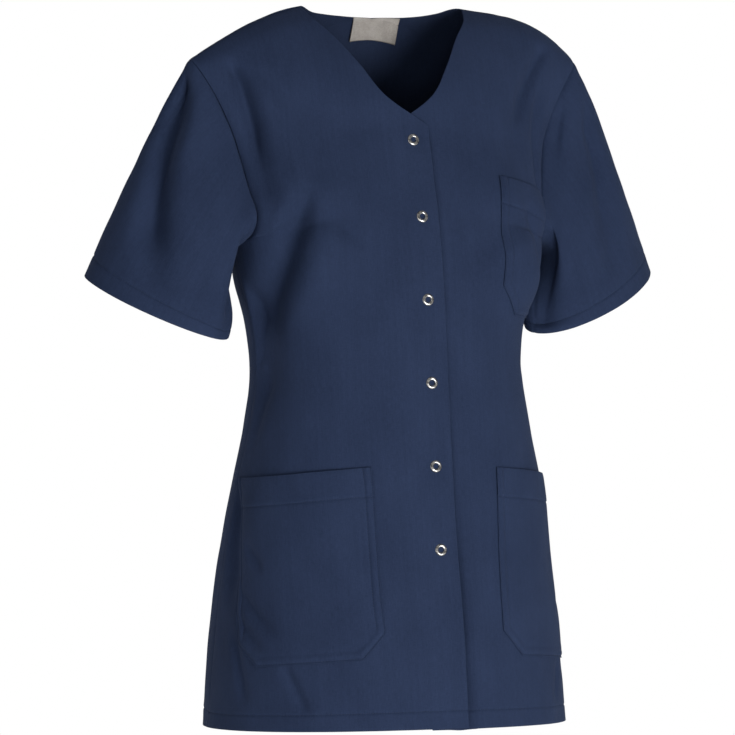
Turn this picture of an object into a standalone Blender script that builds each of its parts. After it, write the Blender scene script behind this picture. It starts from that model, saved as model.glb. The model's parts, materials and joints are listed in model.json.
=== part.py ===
"""Work tunic, women's cut: V-neck, press-studded front, short set-in sleeves and three patch pockets.

The cloth hangs open and hollow, as it is worn. +X is the wearer's left, the front faces -Y, +Z is up, in
metres. The origin lies midway between the two shoulder seams, at the middle of their slope, where the tunic
is carried. Each side of it is one smooth surface of sections: a section runs from the inner edge (front
edge, neckline or centre back) out to the side seam or the armhole, and the sections follow each other from
the front hem up over the shoulder and down to the back hem. The panels are walls cut from that surface.
"""

import math

import bpy
import numpy as np
from mathutils import Vector
from mathutils.bvhtree import BVHTree

# ---------------------------------------------------------------- driving sizes
WALL = 0.0014  # poly-cotton cloth with its seam allowances
POCKET_WALL = 0.0012
LABEL_WALL = 0.0010
SEAM_GAP = 0.0003  # between any two pieces that meet
OVERLAP = 0.018  # the front edge lies this far past the centre front
LAP_GAP = 0.0032  # between the two fronts where they overlap, taken up by the studs
LAP_FULL, LAP_END = 0.024, 0.075  # the fronts are that far apart up to here, and level from here on
FIRST_STUD_STEP, STUD_PITCH = 0.0790, 0.0843
STUDS = 6
FIRST_STUD_Z = -0.1098

CLOTH_NAVY = (0.020, 0.034, 0.075)
LABEL_GREY = (0.52, 0.49, 0.46)
NICKEL = (0.62, 0.60, 0.58)

# Sections of one side, x counted outwards from the centre line. turn is the way the section heads, seen from
# above: 0 straight outwards, 90 straight backwards. reach is the length of the curve's handle as a share of
# the chord, fall the share of the drop that the handle takes.
SECTION = (
    "x_in", "y_in", "z_in", "x_out", "y_out", "z_out",
    "turn_in", "turn_out", "reach_in", "reach_out", "fall_in", "fall_out",
)
FRONT_ROWS = (
    ("hem", -0.018, -0.1630, -0.7055, 0.1930, 0.008, -0.7095, 0, 96, 0.49, 0.36, 0.00, 0.00),
    ("pocket_low", -0.018, -0.1550, -0.6330, 0.1880, 0.008, -0.648, 0, 96, 0.49, 0.36, 0.00, 0.00),
    ("hip", -0.018, -0.1410, -0.5400, 0.1775, 0.009, -0.556, 0, 96, 0.49, 0.36, 0.00, 0.00),
    ("high_hip", -0.018, -0.1290, -0.4500, 0.1655, -0.001, -0.466, 0, 95, 0.50, 0.36, 0.00, 0.00),
    ("below_waist", -0.018, -0.1220, -0.3950, 0.1545, -0.006, -0.408, 0, 93, 0.50, 0.36, 0.00, 0.00),
    ("waist", -0.018, -0.1165, -0.3400, 0.1465, -0.008, -0.350, 0, 90, 0.50, 0.35, 0.00, 0.00),
    ("under_bust", -0.018, -0.1110, -0.2850, 0.1510, -0.006, -0.295, 0, 89, 0.52, 0.34, 0.00, 0.00),
    ("low_bust", -0.018, -0.1055, -0.2450, 0.1610, -0.004, -0.258, 0, 89, 0.57, 0.33, 0.00, 0.00),
    ("underarm", -0.018, -0.0965, -0.1950, 0.1680, 0.002, -0.215, 0, 92, 0.60, 0.31, 0.00, 0.10),
    ("armpit", -0.018, -0.0915, -0.1750, 0.1620, -0.030, -0.208, 0, 84, 0.55, 0.26, 0.00, 0.25),
    ("high_bust", -0.018, -0.0855, -0.1550, 0.1610, -0.045, -0.190, 0, 76, 0.52, 0.24, 0.00, 0.35),
    ("chest", -0.018, -0.0785, -0.1280, 0.1660, -0.036, -0.160, 0, 66, 0.48, 0.24, 0.05, 0.35),
    ("vee", -0.018, -0.0700, -0.0956, 0.1715, -0.0260, -0.1280, 0, 54, 0.45, 0.26, 0.10, 0.35),
    ("neck_low", 0.0290, -0.0635, -0.0635, 0.1780, -0.0205, -0.1020, 0, 45, 0.42, 0.28, 0.15, 0.36),
    ("neck_mid", 0.0500, -0.0520, -0.0330, 0.1905, -0.0170, -0.0730, 0, 34, 0.38, 0.30, 0.18, 0.38),
    ("neck_high", 0.0695, -0.0330, -0.0040, 0.2045, -0.0135, -0.0480, 0, 20, 0.35, 0.32, 0.18, 0.42),
    ("yoke", 0.0860, -0.0165, 0.0155, 0.2130, -0.0085, -0.0345, 0, 8, 0.34, 0.33, 0.16, 0.44),
)
SHOULDER_ROW = ("shoulder", 0.0930, 0.002, 0.0273, 0.2160, 0.000, -0.029, 0, 0, 0.33, 0.33, 0.15, 0.45)
BACK_ROWS = (
    ("nape_side", 0.0700, 0.0190, 0.0225, 0.2090, 0.0180, -0.0410, 0, -18, 0.34, 0.33, 0.14, 0.42),
    ("nape_near", 0.0360, 0.0265, 0.0192, 0.1990, 0.0380, -0.0660, 0, -34, 0.36, 0.32, 0.10, 0.38),
    ("nape", 0.0000, 0.0280, 0.0180, 0.1890, 0.0535, -0.1000, 0, -46, 0.40, 0.30, 0.05, 0.36),
    ("upper_back", 0.000, 0.053, -0.0350, 0.1810, 0.058, -0.138, 0, -56, 0.44, 0.28, 0.02, 0.35),
    ("blades", 0.000, 0.074, -0.0850, 0.1760, 0.060, -0.168, 0, -66, 0.46, 0.26, 0.00, 0.35),
    ("low_blades", 0.000, 0.088, -0.1350, 0.1710, 0.046, -0.195, 0, -76, 0.50, 0.28, 0.00, 0.25),
    ("underarm_back", 0.000, 0.092, -0.1850, 0.1680, 0.002, -0.215, 0, -88, 0.50, 0.32, 0.00, 0.10),
    ("below_arm", 0.000, 0.087, -0.2400, 0.1610, -0.004, -0.258, 0, -91, 0.48, 0.34, 0.00, 0.00),
    ("small_of_back", 0.000, 0.080, -0.2900, 0.1510, -0.006, -0.295, 0, -91, 0.46, 0.35, 0.00, 0.00),
    ("waist_back", 0.000, 0.076, -0.3450, 0.1465, -0.008, -0.350, 0, -90, 0.45, 0.35, 0.00, 0.00),
    ("below_waist_back", 0.000, 0.087, -0.4020, 0.1545, -0.006, -0.408, 0, -87, 0.45, 0.35, 0.00, 0.00),
    ("high_hip_back", 0.000, 0.102, -0.4610, 0.1655, -0.001, -0.466, 0, -85, 0.45, 0.35, 0.00, 0.00),
    ("hip_back", 0.000, 0.120, -0.5510, 0.1775, 0.009, -0.556, 0, -84, 0.46, 0.36, 0.00, 0.00),
    ("low_back", 0.000, 0.126, -0.6430, 0.1880, 0.008, -0.648, 0, -84, 0.46, 0.36, 0.00, 0.00),
    ("hem_back", 0.000, 0.126, -0.7060, 0.1930, 0.008, -0.7095, 0, -84, 0.46, 0.36, 0.00, 0.00),
)
# Rows where the inner or the outer edge of the cloth turns a corner.
INNER_CORNERS = ("vee", "shoulder", "nape")
OUTER_CORNERS = ("underarm", "underarm_back")

# Folds of the fronts and the back. The side is -1 for the wearer's right, 1 for the left. A place is the
# girth from the centre line and the height. A negative depth is a ridge.
FOLD = ("side", "girth_a", "z_a", "girth_b", "z_b", "width_a", "width_b", "depth")
FRONT_FOLDS = (
    ("dart_right", -1, 0.125, -0.170, 0.190, -0.345, 0.015, 0.026, 0.0075),
    ("dart_left", 1, 0.130, -0.170, 0.190, -0.340, 0.012, 0.024, 0.0045),
    ("armhole_right", -1, 0.182, -0.050, 0.160, -0.175, 0.016, 0.020, 0.0055),
    ("shoulder_left", 1, 0.165, -0.035, 0.120, -0.120, 0.010, 0.020, 0.0030),
    ("bust_right", -1, 0.095, -0.195, 0.115, -0.225, 0.045, 0.045, -0.0090),
    ("bust_left", 1, 0.105, -0.200, 0.130, -0.240, 0.045, 0.045, -0.0150),
)
BACK_FOLDS = (
    ("waist_back_right", -1, 0.070, -0.250, 0.078, -0.440, 0.018, 0.020, 0.0045),
    ("waist_back_left", 1, 0.072, -0.260, 0.080, -0.430, 0.018, 0.020, 0.0045),
)

FOLD_START = 0.4  # the share of its depth that a fold has where it begins
FOLD_GROWS = (-0.1, 0.5)  # and where along its length it grows to the whole depth
FOLD_FADE = 0.02  # folds die out this near an edge that meets another piece

# ---------------------------------------------------------------- sections and surface


def hermite(stations, values, at, corners):
    """A smooth curve through the values, which may turn sharply at the stations in corners."""
    span = np.diff(stations)
    slope = np.diff(values, axis=0) / span[:, None]
    share = (span[:-1] / (span[:-1] + span[1:]))[:, None]
    middle = slope[:-1] * (1 - share) + slope[1:] * share
    leaving = np.vstack([slope[:1], middle, slope[-1:]])
    arriving = leaving.copy()
    for row in corners:
        leaving[row] = slope[row]
        arriving[row] = slope[row - 1]
    i = np.clip(np.searchsorted(stations, at, side="right") - 1, 0, len(span) - 1)
    h = span[i][:, None]
    f = ((at - stations[i]) / span[i])[:, None]
    return (
        values[i] * (1 + 2 * f) * (1 - f) ** 2
        + leaving[i] * h * f * (1 - f) ** 2
        + values[i + 1] * f**2 * (3 - 2 * f)
        + arriving[i + 1] * h * f**2 * (f - 1)
    )


ROWS = FRONT_ROWS + (SHOULDER_ROW,) + BACK_ROWS
ROW_NAMES = [row[0] for row in ROWS]
ROW_VALUES = np.array([row[1:] for row in ROWS], float)


def row_stations():
    """A running length over the rows, the mean of the inner and the outer edge."""
    inner = np.linalg.norm(np.diff(ROW_VALUES[:, 0:3], axis=0), axis=1)
    outer = np.linalg.norm(np.diff(ROW_VALUES[:, 3:6], axis=0), axis=1)
    return np.concatenate([[0.0], np.cumsum((inner + outer) / 2)])


STATIONS = row_stations()


def station(name):
    return STATIONS[ROW_NAMES.index(name)]


def section_values(at):
    """The table's columns at any station, as arrays by name."""
    at = np.atleast_1d(at)
    inner_corners = [ROW_NAMES.index(n) for n in INNER_CORNERS]
    outer_corners = [ROW_NAMES.index(n) for n in OUTER_CORNERS]
    level_corners = [i for i in inner_corners if i != ROW_NAMES.index("shoulder")]
    inner_x = hermite(STATIONS, ROW_VALUES[:, 0:1], at, inner_corners)
    inner = np.hstack([inner_x, hermite(STATIONS, ROW_VALUES[:, 1:3], at, level_corners)])
    outer = hermite(STATIONS, ROW_VALUES[:, 3:6], at, outer_corners)
    shape = hermite(STATIONS, ROW_VALUES[:, 6:], at, outer_corners)
    return dict(zip(SECTION, np.hstack([inner, outer, shape]).T))


SECTION_POINTS = 65
# How each shoulder lies: raise of the inner and of the outer handle, and how far out and up its end is.
SHOULDERS = {-1: (0.000, 0.001, 0.0, 0.0), 1: (0.004, 0.021, 0.004, 0.005)}
SHOULDER_REACH = 0.07  # how far down from the shoulder seam this is felt


def section_curves(side, at):
    """Points along the section at each station, (stations, SECTION_POINTS, 3), with x outwards."""
    v = section_values(at)
    start = np.stack([v["x_in"], v["y_in"], v["z_in"]], 1)
    end = np.stack([v["x_out"], v["y_out"], v["z_out"]], 1)
    chord = np.linalg.norm((end - start)[:, :2], axis=1)
    drop = v["z_out"] - v["z_in"]

    def handle(turn, reach):
        angle = np.radians(turn)
        return (reach * chord)[:, None] * np.stack([np.cos(angle), np.sin(angle)], 1)

    first, second = start.copy(), end.copy()
    first[:, :2] += handle(v["turn_in"], v["reach_in"])
    second[:, :2] -= handle(v["turn_out"], v["reach_out"])
    over_shoulder = np.exp(-(((at - station("shoulder")) / SHOULDER_REACH) ** 2))
    raise_in, raise_out, end_out, end_up = SHOULDERS[side]
    first[:, 2] += v["fall_in"] * drop + raise_in * over_shoulder
    second[:, 2] -= v["fall_out"] * drop - raise_out * over_shoulder
    for point in (second, end):
        point[:, 0] += end_out * over_shoulder
        point[:, 2] += end_up * over_shoulder
    f = np.linspace(0, 1, SECTION_POINTS)[None, :, None]
    return (
        start[:, None] * (1 - f) ** 3
        + first[:, None] * 3 * f * (1 - f) ** 2
        + second[:, None] * 3 * f**2 * (1 - f)
        + end[:, None] * f**3
    )


def smooth_step(value, low, high):
    f = np.clip((value - low) / (high - low), 0, 1)
    return f * f * (3 - 2 * f)


def row_lengths(side, at):
    curves = section_curves(side, np.atleast_1d(at))
    return np.linalg.norm(np.diff(curves, axis=1), axis=2).sum(1)


def points_on_rows(side, at, along):
    """Points of the bare surface: at has one station a row, along the distances from the inner edge."""
    curves = section_curves(side, np.asarray(at, float))
    steps = np.linalg.norm(np.diff(curves, axis=1), axis=2)
    run = np.concatenate([np.zeros((len(steps), 1)), np.cumsum(steps, axis=1)], axis=1)
    out = np.empty(np.shape(along) + (3,))
    for i in range(len(curves)):
        for k in range(3):
            out[i, :, k] = np.interp(along[i], run[i], curves[i, :, k])
    out[..., 0] *= side
    return out


def normals_of(grid, outward):
    """The normals of a grid of points, turned the way of outward."""
    along_u = np.gradient(grid, axis=1)
    along_t = np.gradient(grid, axis=0)
    n = np.cross(along_u, along_t)
    n /= np.maximum(np.linalg.norm(n, axis=2, keepdims=True), 1e-12)
    return n * np.sign((n * outward).sum(2, keepdims=True) + 1e-12)


def fold_depth(folds, side, girth, height):
    """How far the folds of this side push the cloth in, at each place."""
    total = np.zeros_like(girth)
    for row in folds:
        f = dict(zip(FOLD, row[1:]))
        if f["side"] != side:
            continue
        run = np.array([f["girth_b"] - f["girth_a"], f["z_b"] - f["z_a"]])
        length = np.linalg.norm(run)
        run = run / length
        s = ((girth - f["girth_a"]) * run[0] + (height - f["z_a"]) * run[1]) / length
        inside = np.clip(s, 0, 1)
        off = np.hypot(
            girth - f["girth_a"] - inside * length * run[0],
            height - f["z_a"] - inside * length * run[1],
        )
        width = f["width_a"] + (f["width_b"] - f["width_a"]) * inside
        grown = FOLD_START + (1 - FOLD_START) * smooth_step(s, *FOLD_GROWS)
        total += f["depth"] * np.exp(-((off / width) ** 2)) * grown
    return total


# ---------------------------------------------------------------- grids of the panels
# Girths from the centre front that carry a line of points, so that the pockets' edges lie on lines.
HIP_GIRTHS = (-0.018, 0.0, 0.033, 0.065, 0.090, 0.112, 0.134, 0.156, 0.178, 0.200, 0.225)
CHEST_GIRTHS = (-0.018, 0.0, 0.030, 0.060, 0.090, 0.112, 0.137, 0.162, 0.185)
# Heights of the rows at the front edge, from the hem up. Between each two lines of columns lies one more.
FRONT_HEIGHTS = (
    -0.7055, -0.668, -0.6320, -0.6193, -0.6065, -0.575, -0.543, -0.513, -0.484, -0.4635, -0.4435, -0.416,
    -0.389, -0.364, -0.342, -0.322, -0.303, -0.2840, -0.2695, -0.2550, -0.236, -0.2155, -0.195,
)
POCKET_LOW, POCKET_CUT, POCKET_TOP = -0.632, -0.6065, -0.4435  # front-edge heights of the pocket rows
CHEST_LOW, CHEST_CUT, CHEST_TOP = -0.284, -0.255, -0.136
CHEST_POCKET_GIRTHS = (0.090, 0.185)
CHEST_LEAN = 0.010  # the chest pocket's top lies this much further out than its foot
LEFT_POCKET_SHIFT = 0.008  # the left hip pocket lies this much further round than the right one
CHEST_COLUMNS, HIP_COLUMNS = (8, 16), (6, 20)  # the columns of the pockets' sides
TURN_COLUMN = 14  # the grid's diagonals change their way here, between the pockets' low corners
# Heights between which the lines for the hip pockets, and those for the chest pocket, spread out evenly.
HIP_FADE = (POCKET_TOP + 0.004, -0.385)
CHEST_FADE = ((-0.345, CHEST_LOW - 0.004), (CHEST_TOP + 0.002, -0.080))
LEAN_HEIGHTS = (-0.262, CHEST_TOP)
LAST_COLUMN = 0.006  # at least this much cloth lies past the last line
EVEN = (0.0, 0.076, 0.165, 0.260, 0.355, 0.450, 0.540, 0.630, 0.720, 0.810, 0.905, 1.0)


def halved(values):
    """The values with one more between each two."""
    values = np.asarray(values, float)
    out = np.empty(2 * len(values) - 1)
    out[0::2] = values
    out[1::2] = (values[:-1] + values[1:]) / 2
    return out


def station_of(column, wanted, low, high):
    """The station between low and high where the edge's column has this value."""
    at = np.linspace(low, high, 1500)
    got = section_values(at)[column]
    order = np.argsort(got)
    return float(np.interp(wanted, got[order], at[order]))


def front_stations():
    """Stations of the front's rows, and which of them is the underarm."""
    hem, under, vee, top = (station(n) for n in ("hem", "underarm", "vee", "shoulder"))
    at = [station_of("z_in", z, hem, under) for z in FRONT_HEIGHTS[:-1]] + [under]
    under_row = len(at) - 1
    arm = [station("armpit"), station("high_bust"), station_of("z_in", CHEST_TOP, under, vee)]
    at += [(under + arm[0]) / 2, arm[0], arm[1], (arm[1] + arm[2]) / 2, arm[2]]
    at += [arm[2] + (vee - arm[2]) * f for f in (0.34, 0.67, 1.0)]
    at += [vee + (top - vee) * f for f in (0.12, 0.26, 0.41, 0.56, 0.71, 0.87)]
    at.append(top)
    return np.array(at), under_row


def spread(marks, length):
    """The marks as distances from the front edge, then even steps to the end of the row."""
    marks = [m + OVERLAP for m in marks]
    rest = len(EVEN) - len(marks)
    step = (length - marks[-1]) / rest
    return np.array(marks + [marks[-1] + step * (k + 1) for k in range(rest)])


def front_columns(side, at):
    """Distances of the columns along each row, from the front edge."""
    v = section_values(at)
    rows = []
    for length, z, t in zip(row_lengths(side, at), v["z_in"], at):
        hip = 1 - smooth_step(z, *HIP_FADE)
        chest = smooth_step(z, *CHEST_FADE[0]) * (1 - smooth_step(z, *CHEST_FADE[1]))
        chest *= t < station("vee") + 1e-6
        even = np.array(EVEN) * length
        lean = CHEST_LEAN * smooth_step(z, *LEAN_HEIGHTS)
        hip_marks = [m + (LEFT_POCKET_SHIFT if side > 0 and m > 0.05 else 0.0) for m in HIP_GIRTHS]
        chest_marks = [m + lean * min(m / CHEST_POCKET_GIRTHS[0], 1.0) if m > 0 else m for m in CHEST_GIRTHS]
        hip_marks = spread(hip_marks, max(length, hip_marks[-1] + OVERLAP + LAST_COLUMN))
        chest_marks = spread(chest_marks, max(length, chest_marks[-1] + OVERLAP + LAST_COLUMN))
        d = even + hip * (hip_marks - even) + chest * (chest_marks - even)
        if d[-1] > length:
            d[2:] = d[2] + (d[2:] - d[2]) * (length - d[2]) / (d[-1] - d[2])
        rows.append(halved(d))
    return np.array(rows)


NAPE_STEPS = (0.15, 0.32, 0.54, 0.77, 1.0)  # shares of the way from the shoulder seam to the nape
NAPE_ROW = len(NAPE_STEPS)


def back_stations():
    """Stations of the back's rows from the shoulder to the hem; its side rows level with the front's."""
    front, under = front_stations()
    v = section_values(front[: under + 1])
    top, nape, low_arm, hem = (station(n) for n in ("shoulder", "nape", "underarm_back", "hem_back"))
    at = [top] + [top + (nape - top) * f for f in NAPE_STEPS]
    at += list(nape + (low_arm - nape) * np.linspace(0, 1, 9)[1:])
    for z in v["z_out"][:-1][::-1]:
        at.append(station_of("z_out", z, low_arm, hem))
    return np.array(at)


BACK_SHARES = (0.0, 0.08, 0.17, 0.26, 0.35, 0.44, 0.53, 0.62, 0.71, 0.80, 0.88, 0.95, 1.0)


def back_columns(side, at):
    length = row_lengths(side, at)
    return length[:, None] * np.array(BACK_SHARES)[None, :]


def folds_fade(along, length):
    """Folds die out at the edges that meet another piece."""
    return smooth_step(length - along, 0.0, FOLD_FADE)


def lap_offset(side, points):
    """The right front lies over the left one near the centre front, with the studs between them."""
    x = np.abs(points[..., 0])
    near = 1 - smooth_step(x, LAP_FULL, LAP_END)
    return -side * near * (LAP_GAP + WALL) / 2


def side_outward(grid, back):
    """A rough way out from the middle of the body, for the sign of the normals."""
    centre = np.array([0.0, 0.02 if back else 0.0, 0.0])
    out = grid - centre
    out[..., 2] = np.where(grid[..., 2] > -0.12, 0.10, 0.0)
    return out


def squared(inward, heading):
    """The way through the wall at a seam, kept from leaning over to the piece on the other side."""
    heading = heading / np.linalg.norm(heading, axis=-1, keepdims=True)
    inward = inward - heading * np.maximum((inward * heading).sum(-1, keepdims=True), 0)
    return inward / np.linalg.norm(inward, axis=-1, keepdims=True)


def seamed(outer, normal, shoulder, side_rows, way):
    """Draws a panel back from its seams (way is 1 for a front, -1 for the back); gives the way through."""
    across = np.array([0.0, float(way), 0.0])
    inward = -normal.copy()
    inward[:, -1] = squared(inward[:, -1], outer[:, -1] - outer[:, -2])
    inward[shoulder] = squared(inward[shoulder], across)
    inward[side_rows, -1] = squared(inward[side_rows, -1], across)
    outer[shoulder, :, 1] -= way * SEAM_GAP / 2
    outer[side_rows, -1, 1] -= way * SEAM_GAP / 2
    return inward


def front_surface(side, at, along):
    """Outer points and normals of one front."""
    grid = points_on_rows(side, at, along)
    normal = normals_of(grid, side_outward(grid, False))
    v = section_values(at)
    girth = along + v["x_in"][:, None]
    inward = fold_depth(FRONT_FOLDS, side, girth, grid[..., 2])
    inward *= folds_fade(along, row_lengths(side, at)[:, None])
    moved = grid + normal * (lap_offset(side, grid) - inward)[..., None]
    return moved, normals_of(moved, normal)


def back_surface(side, at, along):
    grid = points_on_rows(side, at, along)
    normal = normals_of(grid, side_outward(grid, True))
    v = section_values(at)
    girth = along + v["x_in"][:, None]
    inward = fold_depth(BACK_FOLDS, side, girth, grid[..., 2])
    inward *= folds_fade(along, row_lengths(side, at)[:, None]) * smooth_step(girth, 0.0, FOLD_FADE)
    moved = grid - normal * inward[..., None]
    normal = normals_of(moved, normal)
    normal[v["x_in"] < 1e-6, 0, 0] = 0.0
    normal /= np.linalg.norm(normal, axis=2, keepdims=True)
    return moved, normal


# ---------------------------------------------------------------- solids
def cloth_material(name, colour, roughness, metallic):
    material = bpy.data.materials.new(name)
    material.use_nodes = True
    bsdf = material.node_tree.nodes["Principled BSDF"]
    bsdf.inputs["Base Color"].default_value = (*colour, 1.0)
    bsdf.inputs["Roughness"].default_value = roughness
    bsdf.inputs["Metallic"].default_value = metallic
    material.diffuse_color = (*colour, 1.0)
    return material


def signed_volume(points, faces):
    total = 0.0
    for face in faces:
        a = points[face[0]]
        for k in range(1, len(face) - 1):
            total += float(np.dot(a, np.cross(points[face[k]], points[face[k + 1]]))) / 6
    return total


def new_object(name, points, faces, material):
    points = np.asarray(points, float)
    if signed_volume(points, faces) < 0:
        faces = [tuple(reversed(face)) for face in faces]
    mesh = bpy.data.meshes.new(name)
    mesh.from_pydata([tuple(p) for p in points], [], [tuple(int(i) for i in face) for face in faces])
    mesh.materials.append(material)
    mesh.update()
    obj = bpy.data.objects.new(name, mesh)
    bpy.context.scene.collection.objects.link(obj)
    return obj


def wall_solid(name, outer, inner, triangles, material):
    """A closed wall between two layers of the same triangles."""
    used = sorted({int(i) for t in triangles for i in t})
    number = {old: new for new, old in enumerate(used)}
    n = len(used)
    points = np.vstack([outer[used], inner[used]])
    faces = [tuple(number[i] for i in t) for t in triangles]
    edges = {}
    for t in faces:
        for a, b in ((t[0], t[1]), (t[1], t[2]), (t[2], t[0])):
            edges[(a, b)] = edges.get((a, b), 0) + 1
    rims = []
    for a, b in edges:
        if (b, a) not in edges:
            rims += [(b, a, a + n), (b, a + n, b + n)]
    under = [(t[0] + n, t[2] + n, t[1] + n) for t in faces]
    return new_object(name, points, faces + under + rims, material)


def grid_triangles(rows, columns, keep=None):
    """Triangles of a grid; their diagonals turn at one column, so that the pockets' corners lie on them."""
    triangles = []
    for i in range(rows - 1):
        for j in range(columns - 1):
            a, b = i * columns + j, i * columns + j + 1
            c, d = b + columns, a + columns
            pair = ((a, b, d), (b, c, d)) if j < TURN_COLUMN else ((a, b, c), (a, c, d))
            for which, t in enumerate(pair):
                if keep is None or keep(i, j, which):
                    triangles.append(t)
    return triangles


def front_grid(side):
    """Outer points, normals and ways through of one front."""
    at, under = front_stations()
    outer, normal = front_surface(side, at, front_columns(side, at))
    inward = seamed(outer, normal, -1, slice(0, under + 1), 1)
    return outer, normal, inward


def back_grid(side):
    """Outer points and ways through of one half of the back, and its underarm row."""
    at = back_stations()
    outer, normal = back_surface(side, at, back_columns(side, at))
    low = int(np.argmin(np.abs(at - station("underarm_back"))))
    inward = seamed(outer, normal, 0, slice(low, len(at)), -1)
    return outer, inward, low


def build_front(name, side, material):
    outer, _, inward = front_grid(side)
    inner = outer + inward * WALL
    triangles = grid_triangles(*outer.shape[:2])
    wall_solid(name, outer.reshape(-1, 3), inner.reshape(-1, 3), triangles, material)


def build_back(name, material):
    """Both halves of the back as one wall, with one line of points down the middle."""
    points_out, points_in, middle = [], [], {}
    triangles = []
    for side in (-1, 1):
        outer, inward, _ = back_grid(side)
        inner = outer + inward * WALL
        rows, columns = outer.shape[:2]
        number = np.empty((rows, columns), int)
        for i in range(rows):
            for j in range(columns):
                if j == 0 and i in middle:
                    number[i, j] = middle[i]
                    continue
                number[i, j] = len(points_out)
                if j == 0 and i >= NAPE_ROW:
                    middle[i] = number[i, j]
                points_out.append(outer[i, j])
                points_in.append(inner[i, j])
        for i in range(rows - 1):
            for j in range(columns - 1):
                a, b, c, d = number[i, j], number[i, j + 1], number[i + 1, j + 1], number[i + 1, j]
                pair = [(a, b, c), (a, c, d)]
                if side < 0:
                    pair = [t[::-1] for t in pair]
                triangles += pair
    wall_solid(name, np.array(points_out), np.array(points_in), triangles, material)


def build_pocket(name, side, low, cut, top, columns, material):
    """A patch from the points of the front under it, moved out; its low corners are cut off."""
    outer, normal, _ = front_grid(side)
    height = section_values(front_stations()[0])["z_in"]
    rows = [int(np.argmin(np.abs(height - z))) for z in (low, cut, top)]

    def keep(i, j, which):
        if not (rows[0] <= i < rows[2] and columns[0] <= j < columns[1]):
            return False
        step = rows[1] - rows[0]
        up, left, right = i - rows[0], j - columns[0], columns[1] - 1 - j
        if up < step and left + up < step:
            return left + up == step - 1 and which == 1
        if up < step and right + up < step:
            return right + up == step - 1 and which == 1
        return True

    triangles = grid_triangles(*outer.shape[:2], keep)
    base = outer + normal * SEAM_GAP
    face = outer + normal * (SEAM_GAP + POCKET_WALL)
    wall_solid(name, face.reshape(-1, 3), base.reshape(-1, 3), triangles, material)


# ---------------------------------------------------------------- sleeves
# The cuff is an ellipse: its centre, half length and half depth, the way its long axis points on plan, its
# slope down to the inner side, how far the sleeve leans out and the cuff dips to the front, in degrees.
CUFF = ("side", "x", "y", "z", "half_long", "half_deep", "plan", "slope", "lean", "dip")
CUFFS = (
    (-1, 0.2500, 0.006, -0.2806, 0.0802, 0.050, 24, 24, 25, 20),
    (1, 0.2417, 0.006, -0.2724, 0.0910, 0.044, 20, 23.5, 9, 14),
)
CUFF_HANDLE = 0.42  # how straight the sleeve runs into its cuff, as a share of its length
HEAD_GAP, HEAD_GAP_MORE = 1.3, 1.2  # seam gaps between armhole and sleeve, and what the sides add
# The way the sleeve leaves the armhole, by the share of the way round from the shoulder over the front.
LEAVING = ("share", "out", "front", "down", "reach")
LEAVINGS = {
    -1: (
        (0.00, 0.56, 0.00, 0.83, 0.20),
        (0.13, 0.80, 0.30, 0.52, 0.30),
        (0.28, 0.60, 0.40, 0.70, 0.32),
        (0.40, 0.88, 0.10, 0.45, 0.17),
        (0.50, 0.94, 0.00, 0.34, 0.20),
        (0.60, 0.88, -0.10, 0.45, 0.24),
        (0.70, 0.80, -0.40, 0.45, 0.36),
        (0.87, 0.80, -0.30, 0.52, 0.30),
    ),
    1: (
        (0.00, 0.55, 0.00, 0.83, 0.26),
        (0.13, 0.75, 0.30, 0.58, 0.32),
        (0.28, 0.60, 0.40, 0.70, 0.32),
        (0.40, 0.94, 0.12, 0.32, 0.24),
        (0.50, 0.96, 0.00, 0.28, 0.25),
        (0.60, 0.88, -0.10, 0.45, 0.24),
        (0.70, 0.80, -0.40, 0.45, 0.36),
        (0.87, 0.75, -0.30, 0.58, 0.32),
    ),
}
SLEEVE_STEPS = (0.0, 0.05, 0.12, 0.21, 0.31, 0.42, 0.53, 0.64, 0.76, 0.88, 1.0)
# Folds of the sleeves: shares of the way round and of the way down at both ends; the width is one too.
SLEEVE_FOLD = ("side", "share_a", "down_a", "share_b", "down_b", "width", "depth")
SLEEVE_FOLDS = (
    (-1, 0.02, 0.12, 0.21, 0.85, 0.045, 0.0080),
    (-1, 0.44, 0.20, 0.46, 0.95, 0.050, 0.0050),
    (1, 0.12, 0.10, 0.17, 0.35, 0.045, 0.0050),
    (1, 0.06, 0.18, 0.23, 0.80, 0.040, 0.0050),
    (1, 0.43, 0.15, 0.45, 0.95, 0.060, 0.0070),
)
SLEEVE_FOLD_IN, SLEEVE_FOLD_OUT = 0.12, (0.1, 0.15)  # shares of the way down where a fold begins and ends


def periodic(rows, share):
    """The columns of a table round a loop, at any share of the way round."""
    table = np.array(rows, float)
    table = np.vstack([table[-2:] - [1, 0, 0, 0, 0], table, table[:2] + [1, 0, 0, 0, 0]])
    return hermite(table[:, 0], table[:, 1:], share, ())


def armhole(side):
    """The ring of the armhole from the shoulder over the front to the underarm and up the back."""
    under = front_stations()[1]
    front = front_grid(side)[0]
    back, _, low = back_grid(side)
    down = list(range(len(front) - 1, under - 1, -1))
    up = list(range(low, -1, -1))
    ring = [front[i, -1] for i in down] + [back[i, -1] for i in up[1:]]
    heading = [front[i, -1] - front[i, -2] for i in down] + [back[i, -1] - back[i, -2] for i in up[1:]]
    ring, heading = np.array(ring), np.array(heading)
    heading /= np.linalg.norm(heading, axis=1, keepdims=True)
    return ring, heading, len(down) - 1


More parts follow.
